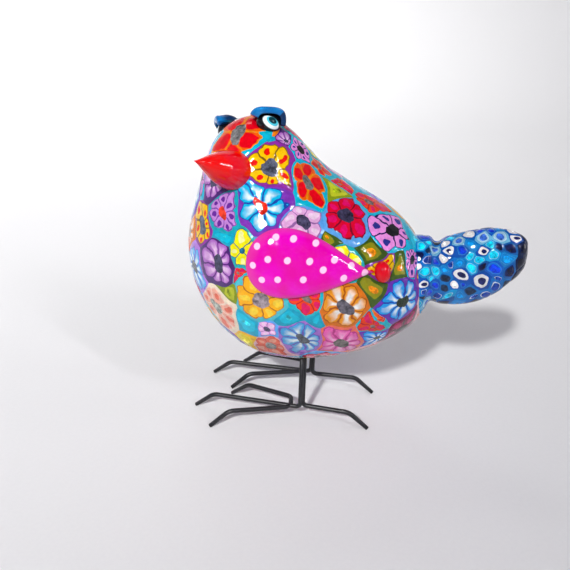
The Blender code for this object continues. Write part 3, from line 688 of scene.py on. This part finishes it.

# Pearl-blue clay: the sheen of the mica in it is painted as flecks of paler blue. It is laid over navy clay,
# which shows along the back and at the outer end; the same navy on the underside over the eye is painted
# shade.
blue_clay, tree, shader = varnished_clay("varnished_pearl_blue_polymer_clay", 0.30, 0.03)
strip_place = add_node(tree, "ShaderNodeUVMap", {"uv_map": "strip"}, {})
where = add_node(tree, "ShaderNodeTexCoord", {}, {}).outputs["Object"]
# Flecks of paler blue: the mica's sheen, painted into the colour
painted_mica_sheen = add_node(tree, "ShaderNodeTexNoise", {}, {"Vector": where, "Scale": 520.0, "Detail": 3.0})
split = add_node(tree, "ShaderNodeSeparateXYZ", {}, {0: strip_place.outputs[0]})
blue = add_node(tree, "ShaderNodeMix", {"data_type": "RGBA"},
                {0: painted_mica_sheen.outputs[0], 6: hex_colour("#034A96"), 7: hex_colour("#0E8CD4")})
from_front = add_node(tree, "ShaderNodeMath", {"operation": "SUBTRACT"}, {0: split.outputs[1], 1: 0.52})
unsigned = add_node(tree, "ShaderNodeMath", {"operation": "ABSOLUTE"}, {0: from_front.outputs[0]})
# Away from the front rim the lid is navy: on the underside over the eye this navy is painted shade
navy = add_node(tree, "ShaderNodeMapRange", {}, {0: unsigned.outputs[0], 1: 0.14, 2: 0.24})
at_end = add_node(tree, "ShaderNodeMath", {"operation": "GREATER_THAN"}, {0: split.outputs[0], 1: 0.72})
navy_and_shade_share = add_node(tree, "ShaderNodeMath", {"operation": "MAXIMUM"},
                {0: navy.outputs[0], 1: at_end.outputs[0]})
lid_colour = add_node(tree, "ShaderNodeMix", {"data_type": "RGBA"},
                      {0: navy_and_shade_share.outputs[0], 6: blue.outputs[2], 7: hex_colour("#08305E")})
tree.links.new(lid_colour.outputs[2], shader.inputs["Base Color"])
shader.inputs["Metallic"].default_value = 0.2
for hand, side in ((1, "left"), (-1, "right")):
    middle, gaze, across, top = eye_frame(hand)
    back, reach_out, reach_up = [half + SEAT_GAP for half in EYE_HALVES]
    rings = []
    for step in range(LID_STEPS + 1):
        sweep = LID_SWEEPS[0] + (LID_SWEEPS[1] - LID_SWEEPS[0]) * step / LID_STEPS
        out = abs(sin(sweep)) ** LID_POWER * (1 if sweep > 0 else -1)
        rise = abs(cos(sweep)) ** LID_POWER * (1 if cos(sweep) > 0 else -1)
        wall = LID_OUTER_WALL if sweep > 0.0 else LID_INNER_WALL
        corner = RIGHT_LID_INNER_CORNER if side == "right" and sweep < 0.0 else LID_CORNER
        peak = corner + (LID_PEAK - corner) * cos(sweep / 2) ** 4
        inner = [(back * depth, size, 0.0) for depth, size in LID_SECTION]
        rim = [(peak - 0.1 * wall, 1.0 - LID_HANG, 0.0), (peak, 1.0 - LID_HANG, 0.3),
               (peak, 1.0, 0.7), (peak - 0.3 * wall, 1.0, 1.0)]
        outer = [(back * depth - wall * (1.0 - size), size, 1.0) for depth, size in reversed(LID_SECTION)]
        rings.append([middle + gaze * depth + across * ((reach_out * size + wall * thick) * out)
                      + top * ((reach_up * size + LID_CROWN * thick) * rise)
                      for depth, size, thick in inner + rim + outer])
    lid = ringed_piece("eyelid_hood_" + side, rings, blue_clay)
    count = len(rings[0])
    layer = lid.data.uv_layers.new(name="strip")
    for loop in lid.data.loops:
        step, part = divmod(loop.vertex_index, count)
        layer.data[loop.index].uv = (step / LID_STEPS, part / (count - 1))
    smooth = lid.modifiers.new("rounded", "SUBSURF")
    smooth.levels = 2
    smooth.render_levels = 2
    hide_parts("eyelid_" + side)


# Wings
# Each is a teardrop of translucent magenta clay laid on the side as a raised cushion, with round slices
# of a pale pink cane rolled in flat.

WING_LENGTH = 0.0355
WING_HEIGHT = 0.0190
WING_THICKNESS = 0.0024
WING_EDGE = 0.0005
WING_TAPER = 1.5
WING_SLOPE = radians(-5.0)
WING_MIDDLE = (0.0028 + STAND[1], 0.0628)
WING_SIDES = 150
WING_ROWS = 45

# Round slices of the pale cane, 2 mm wide: each is so far along and across from the wing's middle, in mm
WING_DOTS = (
    (-10.5, 6.9), (-5.8, 6.9), (0.3, 6.3), (-15.0, 4.0), (-11.5, 1.2), (-6.3, 1.5), (-0.4, 1.8), (6.1, 2.6),
    (3.6, 0.0), (10.9, 1.5), (14.9, -0.1), (-15.3, -1.1), (-12.3, -4.5), (-8.0, -3.7), (-1.2, -2.9),
    (9.5, -1.7),
)

# Magenta clay with a little translucent clay in it. The rim is painted paler and pinker than the middle:
# a painted sheen of the varnish on the rounded edge
wing_clay, tree, shader = varnished_clay("varnished_magenta_polymer_clay_with_dots", 0.35, 0.03)
wing_form = add_node(tree, "ShaderNodeAttribute", {"attribute_name": "wing_form"}, {})
wing_parts = add_node(tree, "ShaderNodeSeparateXYZ", {}, {0: wing_form.outputs["Vector"]})
where = add_node(tree, "ShaderNodeTexCoord", {}, {}).outputs["Object"]
cloud = add_node(tree, "ShaderNodeTexNoise", {}, {"Vector": where, "Scale": 170.0, "Detail": 2.0})
clouded = add_node(tree, "ShaderNodeMapRange", {}, {0: cloud.outputs[0], 1: 0.35, 2: 0.65})
magenta = add_node(tree, "ShaderNodeMix", {"data_type": "RGBA"},
                   {0: clouded.outputs[0], 6: hex_colour("#D8009C"), 7: hex_colour("#DE00BC")})
# Towards the rounded rim the magenta is painted paler and pinker: painted sheen
painted_rim_sheen = add_node(tree, "ShaderNodeMapRange", {}, {0: wing_parts.outputs[1], 1: 0.80, 2: 1.0, 4: 0.75})
magenta_with_rim_sheen = add_node(tree, "ShaderNodeMix", {"data_type": "RGBA"},
                 {0: painted_rim_sheen.outputs[0], 6: magenta.outputs[2], 7: hex_colour("#D83C94")})
dot = add_node(tree, "ShaderNodeMapRange", {}, {0: wing_parts.outputs[0], 1: 0.98, 2: 0.80})
wing_colour = add_node(tree, "ShaderNodeMix", {"data_type": "RGBA"},
                       {0: dot.outputs[0], 6: magenta_with_rim_sheen.outputs[2], 7: hex_colour("#F8C4EA")})
tree.links.new(wing_colour.outputs[2], shader.inputs["Base Color"])
uneven_surface(tree, shader, where, 260.0, 0.4)


def wing_outline(turn):
    """A place on the teardrop's outline, along and across from its middle."""
    widest = 2.0 * np.arctan(np.sqrt(1.0 + WING_TAPER))
    full = sin(widest) * sin(widest / 2) ** WING_TAPER
    return cos(turn) * WING_LENGTH / 2, sin(turn) * abs(sin(turn / 2)) ** WING_TAPER / full * WING_HEIGHT / 2


def wing_yz(along, across):
    """The same place in the bird's own y and z."""
    return (WING_MIDDLE[0] + along * cos(WING_SLOPE) - across * sin(WING_SLOPE),
            WING_MIDDLE[1] + along * sin(WING_SLOPE) + across * cos(WING_SLOPE))


def on_side(hand, yz):
    """Where places given in y and z lie on the clay's left or right side."""
    starts = np.array([[STAND[0], y, z] for y, z in yz])
    return clay_surface(starts, np.tile([float(hand), 0.0, 0.0], (len(yz), 1)))


for hand, side in ((1, "left"), (-1, "right")):
    turns = [2 * pi * (k + 0.5) / WING_SIDES for k in range(WING_SIDES)]
    # From the foot of the edge, which lies on the clay, over the edge and in towards the middle
    over = [1.0] + [1.0 - 0.97 * (i / WING_ROWS) ** 1.3 for i in range(WING_ROWS + 1)]
    rings = []
    wing_forms = []
    for row, share in enumerate(over):
        cushion = WING_EDGE + (WING_THICKNESS - WING_EDGE) * (1.0 - share ** 3.2) ** 0.55
        thick = 0.0 if row == 0 else cushion
        flat = np.array([wing_outline(turn) for turn in turns]) * share
        seats = on_side(hand, [wing_yz(*place) for place in flat])
        rings.append([Vector(point) for point in seats + clay_normals(seats) * thick])
        to_dots = np.linalg.norm(flat[:, None, :] * 1000 - np.array(WING_DOTS), axis=2).min(axis=1)
        wing_forms += [(to_dot, share, 0.0) for to_dot in to_dots]
    wing = ringed_piece("wing_cushion_" + side, rings, wing_clay)
    # The middles of the underside and of the top, which lie away from any dot
    wing_forms += [(4.0, 1.0, 0.0), (2.5, 0.0, 0.0)]
    layer = wing.data.attributes.new("wing_form", "FLOAT_VECTOR", "POINT")
    layer.data.foreach_set("vector", np.array(wing_forms, dtype=np.float32).ravel())
    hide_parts("wing_" + side)


# Wing beads
# A small ball of glossy red clay, pressed flat at the tip of each wing.

BEAD_LENGTH = 0.0047
BEAD_HEIGHT = 0.0062
BEAD_PROUD = 0.0030
BEAD_SIDES = 40

# Scarlet clay with a darker crimson swirl, under gloss varnish
bead_clay, tree, shader = varnished_clay("varnished_scarlet_polymer_clay", 0.30, 0.02)
where = add_node(tree, "ShaderNodeTexCoord", {}, {}).outputs["Object"]
swirl = add_node(tree, "ShaderNodeTexNoise", {}, {"Vector": where, "Scale": 420.0, "Detail": 2.0})
scarlet = add_node(tree, "ShaderNodeMix", {"data_type": "RGBA"},
                   {0: swirl.outputs[0], 6: hex_colour("#E80410"), 7: hex_colour("#B80020")})
tree.links.new(scarlet.outputs[2], shader.inputs["Base Color"])
for hand, side in ((1, "left"), (-1, "right")):
    tip = on_side(hand, [wing_yz(WING_LENGTH / 2, 0.0)])
    slant = abs(clay_normals(tip)[0][0])
    place = on_side(hand, [wing_yz(WING_LENGTH / 2 + (SEAT_GAP + BEAD_LENGTH / 2) * slant, 0.0)])
    normal = Vector(clay_normals(place)[0])
    middle = Vector(place[0]) + normal * (BEAD_PROUD - BEAD_LENGTH / 2)
    high = (Vector((0.0, 0.0, 1.0)) - normal * normal.z).normalized()
    rings = ball_rings(middle, (normal, normal.cross(high), high),
                       (BEAD_LENGTH / 2, BEAD_LENGTH / 2, BEAD_HEIGHT / 2), BEAD_SIDES)
    bead = ringed_piece("wing_bead_ball_" + side, rings, bead_clay)
    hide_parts("wing_bead_" + side)


# Tail
# A paddle of clay that grips the rump with a flared collar, covered with slices of small blue and white
# canes in the same way as the body.

TAIL_LENGTH = 0.0305
TAIL_ROOT = (0.0340 + STAND[1], 0.0531)
TAIL_RISE = 0.0096
TAIL_POWER = 2.0 / 2.3
TAIL_ROOT_SUNK = 0.0070
TAIL_MIDDLE_HEIGHT = 0.0583
TAIL_ROWS = 110
TAIL_SIDES = 120
# From this share of the length on, the tail's end is painted very dark navy: painted shade on the end, which
# faces down and away from the light, over its navy canes
SHADED_END_START = 0.91
# Half heights and half widths of the flared collar, the neck and the paddle
COLLAR = (0.0250 / 2, 0.0200 / 2)
NECK = (0.0190 / 2, 0.0140 / 2)
PADDLE = (0.0236 / 2, 0.0140 / 2)
# Share of the length, share of the rise, half height and half width
TAIL_STATIONS = np.array([
    (-TAIL_ROOT_SUNK / TAIL_LENGTH, 0.00, COLLAR[0], COLLAR[1]),
    (0.02, 0.00, COLLAR[0], COLLAR[1]),
    (0.07, 0.06, COLLAR[0] * 0.93, COLLAR[1] * 0.93),
    (0.13, 0.17, NECK[0], NECK[1] * 1.06),
    (0.24, 0.26, 0.4 * NECK[0] + 0.6 * PADDLE[0], NECK[1]),
    (0.42, 0.38, PADDLE[0], PADDLE[1]),
    (0.60, 0.55, PADDLE[0] * 0.985, PADDLE[1] * 0.98),
    (0.75, 0.72, PADDLE[0] * 0.86, PADDLE[1] * 0.93),
    (0.86, 0.88, PADDLE[0] * 0.68, PADDLE[1] * 0.82),
    (0.94, 0.98, PADDLE[0] * 0.52, PADDLE[1] * 0.62),
    (0.985, 1.0, PADDLE[0] * 0.38, PADDLE[1] * 0.36),
    (1.0, 1.0, PADDLE[0] * 0.20, PADDLE[1] * 0.12),
])

add_plain_canes((
    ("eyed_white", "#F4F4F6", "#141E5A", "#0C6AC8", "#0852B4", 0.40),
    ("white", "#F4F2F2", "#FFFFFF", "#0C6AC8", "#0A60B8", 0.30),
    ("royal", "#0A74D8", "#0438D0", "#3C8CE0", "#0A5CC4", 0.58),
    ("ringed", "#D8ECF8", "#0A3A9C", "#0A50B8", "#0A74CC", 0.66),
    ("pale", "#9CC8E4", "#3A68C8", "#D8ECF8", "#70B8DE", 0.50),
    ("cyan", "#0CC0EC", "#08CCF4", "#A8E0F4", "#129CDC", 0.60),
    ("deep_sky", "#0884D8", "#0896E4", "#3C9CDC", "#0A80D0", 0.50),
    ("slate", "#123A60", "#122A48", "#0A5CA8", "#0870C0", 0.60),
    ("navy", "#062C66", "#0A1440", "#0A50B0", "#0A5CA8", 0.60),
    # The strip cane is a very dark navy: painted shade on the tail's end, over navy canes
    ("strip", "#08163C", "#060E2C", "#0A2450", "#081E48", 0.60),
))


def tail_rings(rows, sides):
    """Rings along a smooth curve through the stations, with as many rings between each two of them."""
    places = np.linspace(0, len(TAIL_STATIONS) - 1, rows)
    rings = []
    for place in places:
        i = min(int(place), len(TAIL_STATIONS) - 2)
        t = place - i
        p = [TAIL_STATIONS[min(max(i + k, 0), len(TAIL_STATIONS) - 1)] for k in (-1, 0, 1, 2)]
        share, rise, high, thick = 0.5 * (2 * p[1] + (p[2] - p[0]) * t
                                          + (2 * p[0] - 5 * p[1] + 4 * p[2] - p[3]) * t ** 2
                                          + (3 * p[1] - p[0] - 3 * p[2] + p[3]) * t ** 3)
        turns = 2 * pi * np.arange(sides) / sides
        across = np.abs(np.cos(turns)) ** TAIL_POWER * np.sign(np.cos(turns))
        upward = np.abs(np.sin(turns)) ** TAIL_POWER * np.sign(np.sin(turns))
        rings.append(np.stack([STAND[0] + thick * across, np.full(sides, TAIL_ROOT[0] + TAIL_LENGTH * share),
                               TAIL_ROOT[1] + TAIL_RISE * rise + high * upward], axis=1))
    return np.array(rings)


rings = tail_rings(TAIL_ROWS, TAIL_SIDES)
end_middle = TAIL_ROWS * TAIL_SIDES
tail_points = np.concatenate([rings.reshape(-1, 3), rings[-1].mean(axis=0)[None]])
index = np.arange(end_middle).reshape(TAIL_ROWS, TAIL_SIDES)
a, b = index[:-1], np.roll(index, -1, axis=1)[:-1]
c, d = np.roll(index, -1, axis=1)[1:], index[1:]
end_fan = np.stack([index[-1], np.full(TAIL_SIDES, end_middle), np.roll(index[-1], -1)], axis=1)
tail_triangles = np.concatenate([np.stack([a, c, b], axis=2).reshape(-1, 3),
                                 np.stack([a, d, c], axis=2).reshape(-1, 3), end_fan])
faces_out = np.cross(tail_points[tail_triangles[:, 1]] - tail_points[tail_triangles[:, 0]],
                     tail_points[tail_triangles[:, 2]] - tail_points[tail_triangles[:, 0]])
tail_middle = np.array([STAND[0], TAIL_ROOT[0] + 0.5 * TAIL_LENGTH, TAIL_MIDDLE_HEIGHT])
outside = tail_points[tail_triangles].mean(axis=1) - tail_middle
if (faces_out * outside).sum() < 0:
    tail_triangles = tail_triangles[:, ::-1]
    faces_out = -faces_out
tail_normals = np.zeros_like(tail_points)
for k in range(3):
    np.add.at(tail_normals, tail_triangles[:, k], faces_out)
tail_normals /= np.maximum(np.linalg.norm(tail_normals, axis=1), 1e-12)[:, None]
tail_grid = tail_points[::3]
tail_grid_normals = tail_normals[::3]


def tail_normal_at(points):
    """Normals of the tail at points on it, from the nearest points of its own rings."""
    normals = np.empty_like(points)
    for start in range(0, len(points), 2000):
        part = points[start:start + 2000]
        away = ((part[:, None, :] - tail_grid) ** 2).sum(axis=2)
        near = np.argpartition(away, 4, axis=1)[:, :4]
        weight = 1.0 / (np.take_along_axis(away, near, 1) + 1e-9)
        found = (tail_grid_normals[near] * weight[..., None]).sum(axis=1)
        normals[start:start + 2000] = found / np.linalg.norm(found, axis=1)[:, None]
    return normals


# Slices on the left side: place along the tail from 0 to 1, turn round it in degrees, radius in
# millimetres, cane and turn
# The pale slices placed along the upper side, at turns of 62 to 64 degrees, lighten the top: painted
# reflection of the bright light above, laid as pale canes
PLACED_TAIL_CANES = (
    (0.07, 44, 1.5, "navy", 0), (0.07, 62, 1.8, "cyan", 0), (0.16, 40, 2.0, "ringed", 0),
    (0.24, 62, 1.8, "pale", 0), (0.34, 32, 1.8, "white", 0), (0.34, 70, 1.8, "white", 0),
    (0.37, 46, 2.0, "eyed_white", 0), (0.43, 42, 2.1, "royal", 0), (0.41, 64, 1.7, "pale", 0),
    (0.52, 62, 2.2, "pale", 0), (0.61, 64, 2.2, "pale", 0), (0.53, 32, 2.1, "eyed_white", 0),
    (0.56, 42, 1.8, "cyan", 0), (0.61, 38, 1.6, "navy", 0), (0.58, 26, 2.0, "cyan", 0),
    (0.69, 32, 2.2, "navy", 0), (0.67, 14, 2.2, "deep_sky", 0), (0.51, 20, 1.7, "cyan", 0),
    (0.07, 28, 1.2, "white", 0), (0.11, 22, 2.0, "cyan", 0), (0.28, 14, 1.9, "cyan", 0),
    (0.06, 8, 1.7, "royal", 0), (0.12, 4, 1.9, "eyed_white", 0), (0.30, 352, 2.0, "royal", 0),
    (0.37, 344, 2.0, "slate", 0), (0.41, 352, 1.6, "white", 0), (0.44, 4, 2.6, "eyed_white", 0),
    (0.49, 10, 1.6, "cyan", 0), (0.60, 2, 2.5, "royal", 0), (0.54, 350, 3.2, "eyed_white", 0),
    (0.50, 337, 2.2, "slate", 0), (0.45, 328, 2.0, "deep_sky", 0), (0.06, 350, 2.0, "cyan", 0),
    (0.13, 344, 1.5, "slate", 0), (0.42, 18, 1.8, "deep_sky", 0), (0.36, 12, 1.6, "deep_sky", 0),
    (0.72, 348, 2.4, "navy", 0), (0.47, 48, 2.0, "deep_sky", 0),
)
TAIL_FILL_RADII = (2.4, 1.9, 1.4)
TAIL_FILL_KINDS = ("eyed_white", "royal", "cyan", "white", "deep_sky", "slate", "ringed", "royal", "deep_sky",
                   "cyan", "navy", "pale")
TAIL_TRIALS = 3500
places = [tail_points[index[round(row[0] * (TAIL_ROWS - 1)), round(row[1] / 360 * TAIL_SIDES) % TAIL_SIDES]]
          for row in PLACED_TAIL_CANES]
trial_order = np.random.default_rng(17).permutation(len(tail_points))[:TAIL_TRIALS]
centres, radii, names, turns = lay_canes(PLACED_TAIL_CANES, places, tail_points[trial_order], TAIL_FILL_RADII,
                                         TAIL_FILL_KINDS, 8)
strip_place = TAIL_ROOT[0] + SHADED_END_START * TAIL_LENGTH
# Slices past this place take the strip cane, the painted shade on the tail's end
names = ["strip" if centre[1] > strip_place else name for centre, name in zip(centres, names)]
tail_canes = (centres, radii, names, turns)
tail_skin = slice_skin("tail_cane_slices", tail_points, tail_triangles, tail_normal_at, tail_canes, cane_clay)
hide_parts("tail")


# Legs
# Black craft wire 1.6 mm thick: each leg is two wires side by side, which bend into the middle and hind
# toes, and a third wire across the foot that makes both side toes. They are soldered at the foot.

WIRE_DIAMETER = 0.0016
WIRE_RADIUS = WIRE_DIAMETER / 2
WIRE_SIDES = 16
STRAND_SPACING = 0.85 * WIRE_DIAMETER
STRAND_TURN = radians(-25.0)
FOOT_SPACING = 0.0219
ANKLE_HEIGHT = 0.0055
MIDDLE_TOE_REACH = 0.0363
BACK_TOE_REACH = 0.0217
CLAW_RUN = 0.0055
CROSSING_AHEAD = 0.0036
SOCKET_DEPTH = 0.0070
# A height inside the clay, from which the way down to the belly is measured
INSIDE_HEIGHT = 0.0555
FOOT_BENDS = (0.0016, 0.0045)
SIDE_BENDS = (0.0045, 0.0022, 0.0022, 0.0022, 0.0045)
# Where each side toe bends, and where its claw ends: out from the foot and ahead of it
SIDE_TOES = {
    "left": {"outer": ((0.0018, 0.0050), (0.0104, 0.0281)), "inner": ((0.0048, 0.0044), (0.0096, 0.0260))},
    "right": {"outer": ((0.0078, 0.0048), (0.0101, 0.0272)), "inner": ((0.0010, 0.0060), (0.0084, 0.0272))},
}

# Black annealed wire: near black, a little blue, with the soft sheen of a thin oxide
wire_finish, tree, shader = new_material("black_annealed_steel_wire", {})
where = add_node(tree, "ShaderNodeTexCoord", {}, {}).outputs["Object"]
drawn = add_node(tree, "ShaderNodeTexNoise", {}, {"Vector": where, "Scale": 700.0, "Detail": 2.0})
wire_colour = add_node(tree, "ShaderNodeMix", {"data_type": "RGBA"},
                       {0: drawn.outputs[0], 6: hex_colour("#0A0B10"), 7: hex_colour("#25262C")})
sheen = add_node(tree, "ShaderNodeMapRange", {}, {0: drawn.outputs[0], 3: 0.28, 4: 0.50})
tree.links.new(wire_colour.outputs[2], shader.inputs["Base Color"])
tree.links.new(sheen.outputs[0], shader.inputs["Roughness"])


def rounded_route(corners, radii, steps=8):
    """The way of a wire past its corners, each bent round at its own radius."""
    route = [corners[0]]
    for before, corner, after, radius in zip(corners, corners[1:], corners[2:], radii):
        inward = (before - corner).normalized()
        onward = (after - corner).normalized()
        half = inward.angle(onward) / 2
        bend = min(radius, 0.45 * min((before - corner).length, (after - corner).length) * tan(half))
        centre = corner + (inward + onward).normalized() * (bend / sin(half))
        start = (corner + inward * bend / tan(half) - centre).normalized()
        end = (corner + onward * bend / tan(half) - centre).normalized()
        route += [centre + start.slerp(end, step / steps) * bend for step in range(steps + 1)]
    route.append(corners[-1])
    return route


def wire_rings(route):
    """Rings round a wire's way. A claw's end is cut off level where it meets the floor."""
    side = (route[1] - route[0]).orthogonal().normalized()
    rings = []
    for i, place in enumerate(route):
        along = (route[min(i + 1, len(route) - 1)] - route[max(i - 1, 0)]).normalized()
        side = (side - along * side.dot(along)).normalized()
        across = along.cross(side)
        turns = [2 * pi * k / WIRE_SIDES for k in range(WIRE_SIDES)]
        ring = [place + WIRE_RADIUS * (side * cos(turn) + across * sin(turn)) for turn in turns]
        rings.append([Vector((point.x, point.y, max(point.z, 0.0))) for point in ring])
    return rings


def claw_bend(foot, direction, reach):
    """The two last corners of a toe: its knuckle, and its claw's end on the floor."""
    knuckle = foot + direction * (reach - CLAW_RUN)
    slope = (ANKLE_HEIGHT - WIRE_RADIUS) / CLAW_RUN
    end_run = CLAW_RUN + WIRE_RADIUS
    return [knuckle, knuckle + direction * end_run - Vector((0.0, 0.0, slope * end_run))]


for hand, side in ((1, "left"), (-1, "right")):
    pair = Vector((hand * cos(STRAND_TURN), sin(STRAND_TURN), 0.0)) * (STRAND_SPACING / 2)
    foot = Vector((hand * FOOT_SPACING / 2 + STAND[0], STAND[1], ANKLE_HEIGHT))
    tops = [Vector((strand.x, strand.y, 0.0)) for strand in (foot + pair, foot - pair)]
    starts = np.array([[top.x, top.y, INSIDE_HEIGHT] for top in tops])
    belly = clay_surface(starts, np.tile([0.0, 0.0, -1.0], (2, 1)))
    front_top, back_top = [Vector((top.x, top.y, low[2] + SOCKET_DEPTH)) for top, low in zip(tops, belly)]
    ahead = Vector((0.0, -1.0, 0.0))
    halves = []
    for place, away in (("outer", hand), ("inner", -hand)):
        (bend_out, bend_ahead), (tip_out, tip_ahead) = SIDE_TOES[side][place]
        shoulder = foot + Vector((away * bend_out, -bend_ahead, 0.0))
        claw = foot + Vector((away * tip_out, -tip_ahead, 0.0))
        along = (claw - shoulder).normalized()
        halves.append([shoulder] + claw_bend(shoulder, along, (claw - shoulder).length))
    crossing = foot + ahead * CROSSING_AHEAD
    routes = {
        "front_wire": ([front_top, foot + pair] + claw_bend(foot, ahead, MIDDLE_TOE_REACH), FOOT_BENDS),
        "back_wire": ([back_top, foot - pair] + claw_bend(foot, -ahead, BACK_TOE_REACH), FOOT_BENDS),
        "side_toes": (halves[0][::-1] + [crossing] + halves[1], SIDE_BENDS),
    }
    for wire, (corners, radii) in routes.items():
        rings = wire_rings(rounded_route(corners, radii))
        piece = ringed_piece("leg_" + side + "_" + wire, rings, wire_finish)
        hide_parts("leg_" + side)


# Studio
# A plain pale floor that sweeps up all round, like a light tent. A small lamp above the camera throws the
# shadow back, a soft light fills the backdrop, and two tall narrow windows make the small bright streaks.

# The floor is flat as far as the curve's start, then it sweeps up in a quarter round to a wall
CURVE_START = 0.55
CURVE_RADIUS = 0.6
WALL_TOP = 1.3
CURVE_STEPS = 16
FLOOR_SIDES = 96

# Matt paper: pale, almost without any shine, and mottled too finely to see
paper, tree, shader = new_material("pale_matt_paper", {"Roughness": 0.8, "Specular IOR Level": 0.2})
where = add_node(tree, "ShaderNodeTexCoord", {}, {}).outputs["Object"]
fibres = add_node(tree, "ShaderNodeTexNoise", {}, {"Vector": where, "Scale": 900.0, "Detail": 2.0})
paper_colour = add_node(tree, "ShaderNodeMix", {"data_type": "RGBA"},
                        {0: fibres.outputs[0], 6: hex_colour("#E9EAED"), 7: hex_colour("#EEEFF1")})
tree.links.new(paper_colour.outputs[2], shader.inputs["Base Color"])
sweep = [(0.25, 0.0), (CURVE_START, 0.0)]
for step in range(1, CURVE_STEPS + 1):
    bend = pi / 2 * step / CURVE_STEPS
    sweep.append((CURVE_START + CURVE_RADIUS * sin(bend), CURVE_RADIUS - CURVE_RADIUS * cos(bend)))
sweep.append((CURVE_START + CURVE_RADIUS, WALL_TOP))
turns = [2 * pi * k / FLOOR_SIDES for k in range(FLOOR_SIDES)]
bm = bmesh.new()
rows = [[bm.verts.new((reach * cos(turn), reach * sin(turn), z)) for turn in turns] for reach, z in sweep]
middle = bm.verts.new((0.0, 0.0, 0.0))
for k in range(FLOOR_SIDES):
    bm.faces.new((middle, rows[0][k], rows[0][(k + 1) % FLOOR_SIDES]))
for lower, upper in zip(rows, rows[1:]):
    for k in range(FLOOR_SIDES):
        following = (k + 1) % FLOOR_SIDES
        bm.faces.new((lower[k], upper[k], upper[following], lower[following]))
mesh = bpy.data.meshes.new("floor_sweep")
bm.to_mesh(mesh)
bm.free()
mesh.shade_smooth()
mesh.materials.append(paper)
floor = bpy.data.objects.new("floor_sweep", mesh)
bpy.context.collection.objects.link(floor)

# Name, place, what it points at, width and height, spread in degrees, power in watts and colour
LIGHTS = (
    ("lamp_above_camera", (1.02, -0.16, 0.84), (-0.50, -0.40, 0.06), 0.08, 0.08, 60, 3.35, (1.0, 0.99, 0.97)),
    ("backdrop_light", (-0.45, -0.20, 0.75), (-0.75, -0.20, 0.0), 0.30, 0.30, 120, 1.55, (1.0, 0.985, 0.95)),
    ("tall_window", (0.447, 0.663, 0.675), (0.0, 0.0, 0.05), 0.03, 0.32, 180, 1.8, (1.0, 0.96, 0.99)),
    ("far_window", (-0.122, 0.872, 0.240), (0.0, 0.0, 0.08), 0.035, 0.34, 180, 1.1, (1.0, 0.96, 0.99)),
)
for name, place, target, width, height, spread, power, colour in LIGHTS:
    light = bpy.data.lights.new(name, "AREA")
    light.shape = "RECTANGLE"
    light.size = width
    light.size_y = height
    light.spread = radians(spread)
    light.energy = power
    light.color = colour
    lamp = bpy.data.objects.new(name, light)
    lamp.location = place
    lamp.rotation_euler = (Vector(target) - Vector(place)).to_track_quat("-Z", "Y").to_euler()
    bpy.context.collection.objects.link(lamp)
world = bpy.data.worlds.new("studio")
world.use_nodes = True
world.node_tree.nodes["Background"].inputs["Color"].default_value = (0.95, 0.86, 0.98, 1.0)
world.node_tree.nodes["Background"].inputs["Strength"].default_value = 0.09
bpy.context.scene.world = world
# A plain display transform keeps the clay's colours as strong as the varnish makes them
bpy.context.scene.view_settings.view_transform = "Standard"

# The camera was found from the claws, the legs and the body's outline. The last two numbers are half the
# picture's width and the focal length, in the same small units.
CAMERA_PLACE = (0.19176, 0.02702, 0.13380)
CAMERA_TURN = radians(100.595)
CAMERA_RISE = radians(24.572)
CAMERA_ROLL = radians(1.649)
HALF_PICTURE = 285
FOCAL_LENGTH = 649.29
back = Vector((sin(CAMERA_TURN) * cos(CAMERA_RISE), -cos(CAMERA_TURN) * cos(CAMERA_RISE), sin(CAMERA_RISE)))
level = Vector((cos(CAMERA_TURN), sin(CAMERA_TURN), 0.0))
raised = back.cross(level)
right = level * cos(CAMERA_ROLL) + raised * sin(CAMERA_ROLL)
upright = raised * cos(CAMERA_ROLL) - level * sin(CAMERA_ROLL)
lens = bpy.data.cameras.new("photograph_view")
lens.sensor_fit = "HORIZONTAL"
lens.angle = 2 * np.arctan(HALF_PICTURE / FOCAL_LENGTH)
lens.clip_start = 0.01
camera = bpy.data.objects.new("photograph_view", lens)
turned = Matrix((right, upright, back)).transposed().to_4x4()
camera.matrix_world = Matrix.Translation(Vector(CAMERA_PLACE) + Vector(STAND)) @ turned
bpy.context.collection.objects.link(camera)
bpy.context.scene.camera = camera
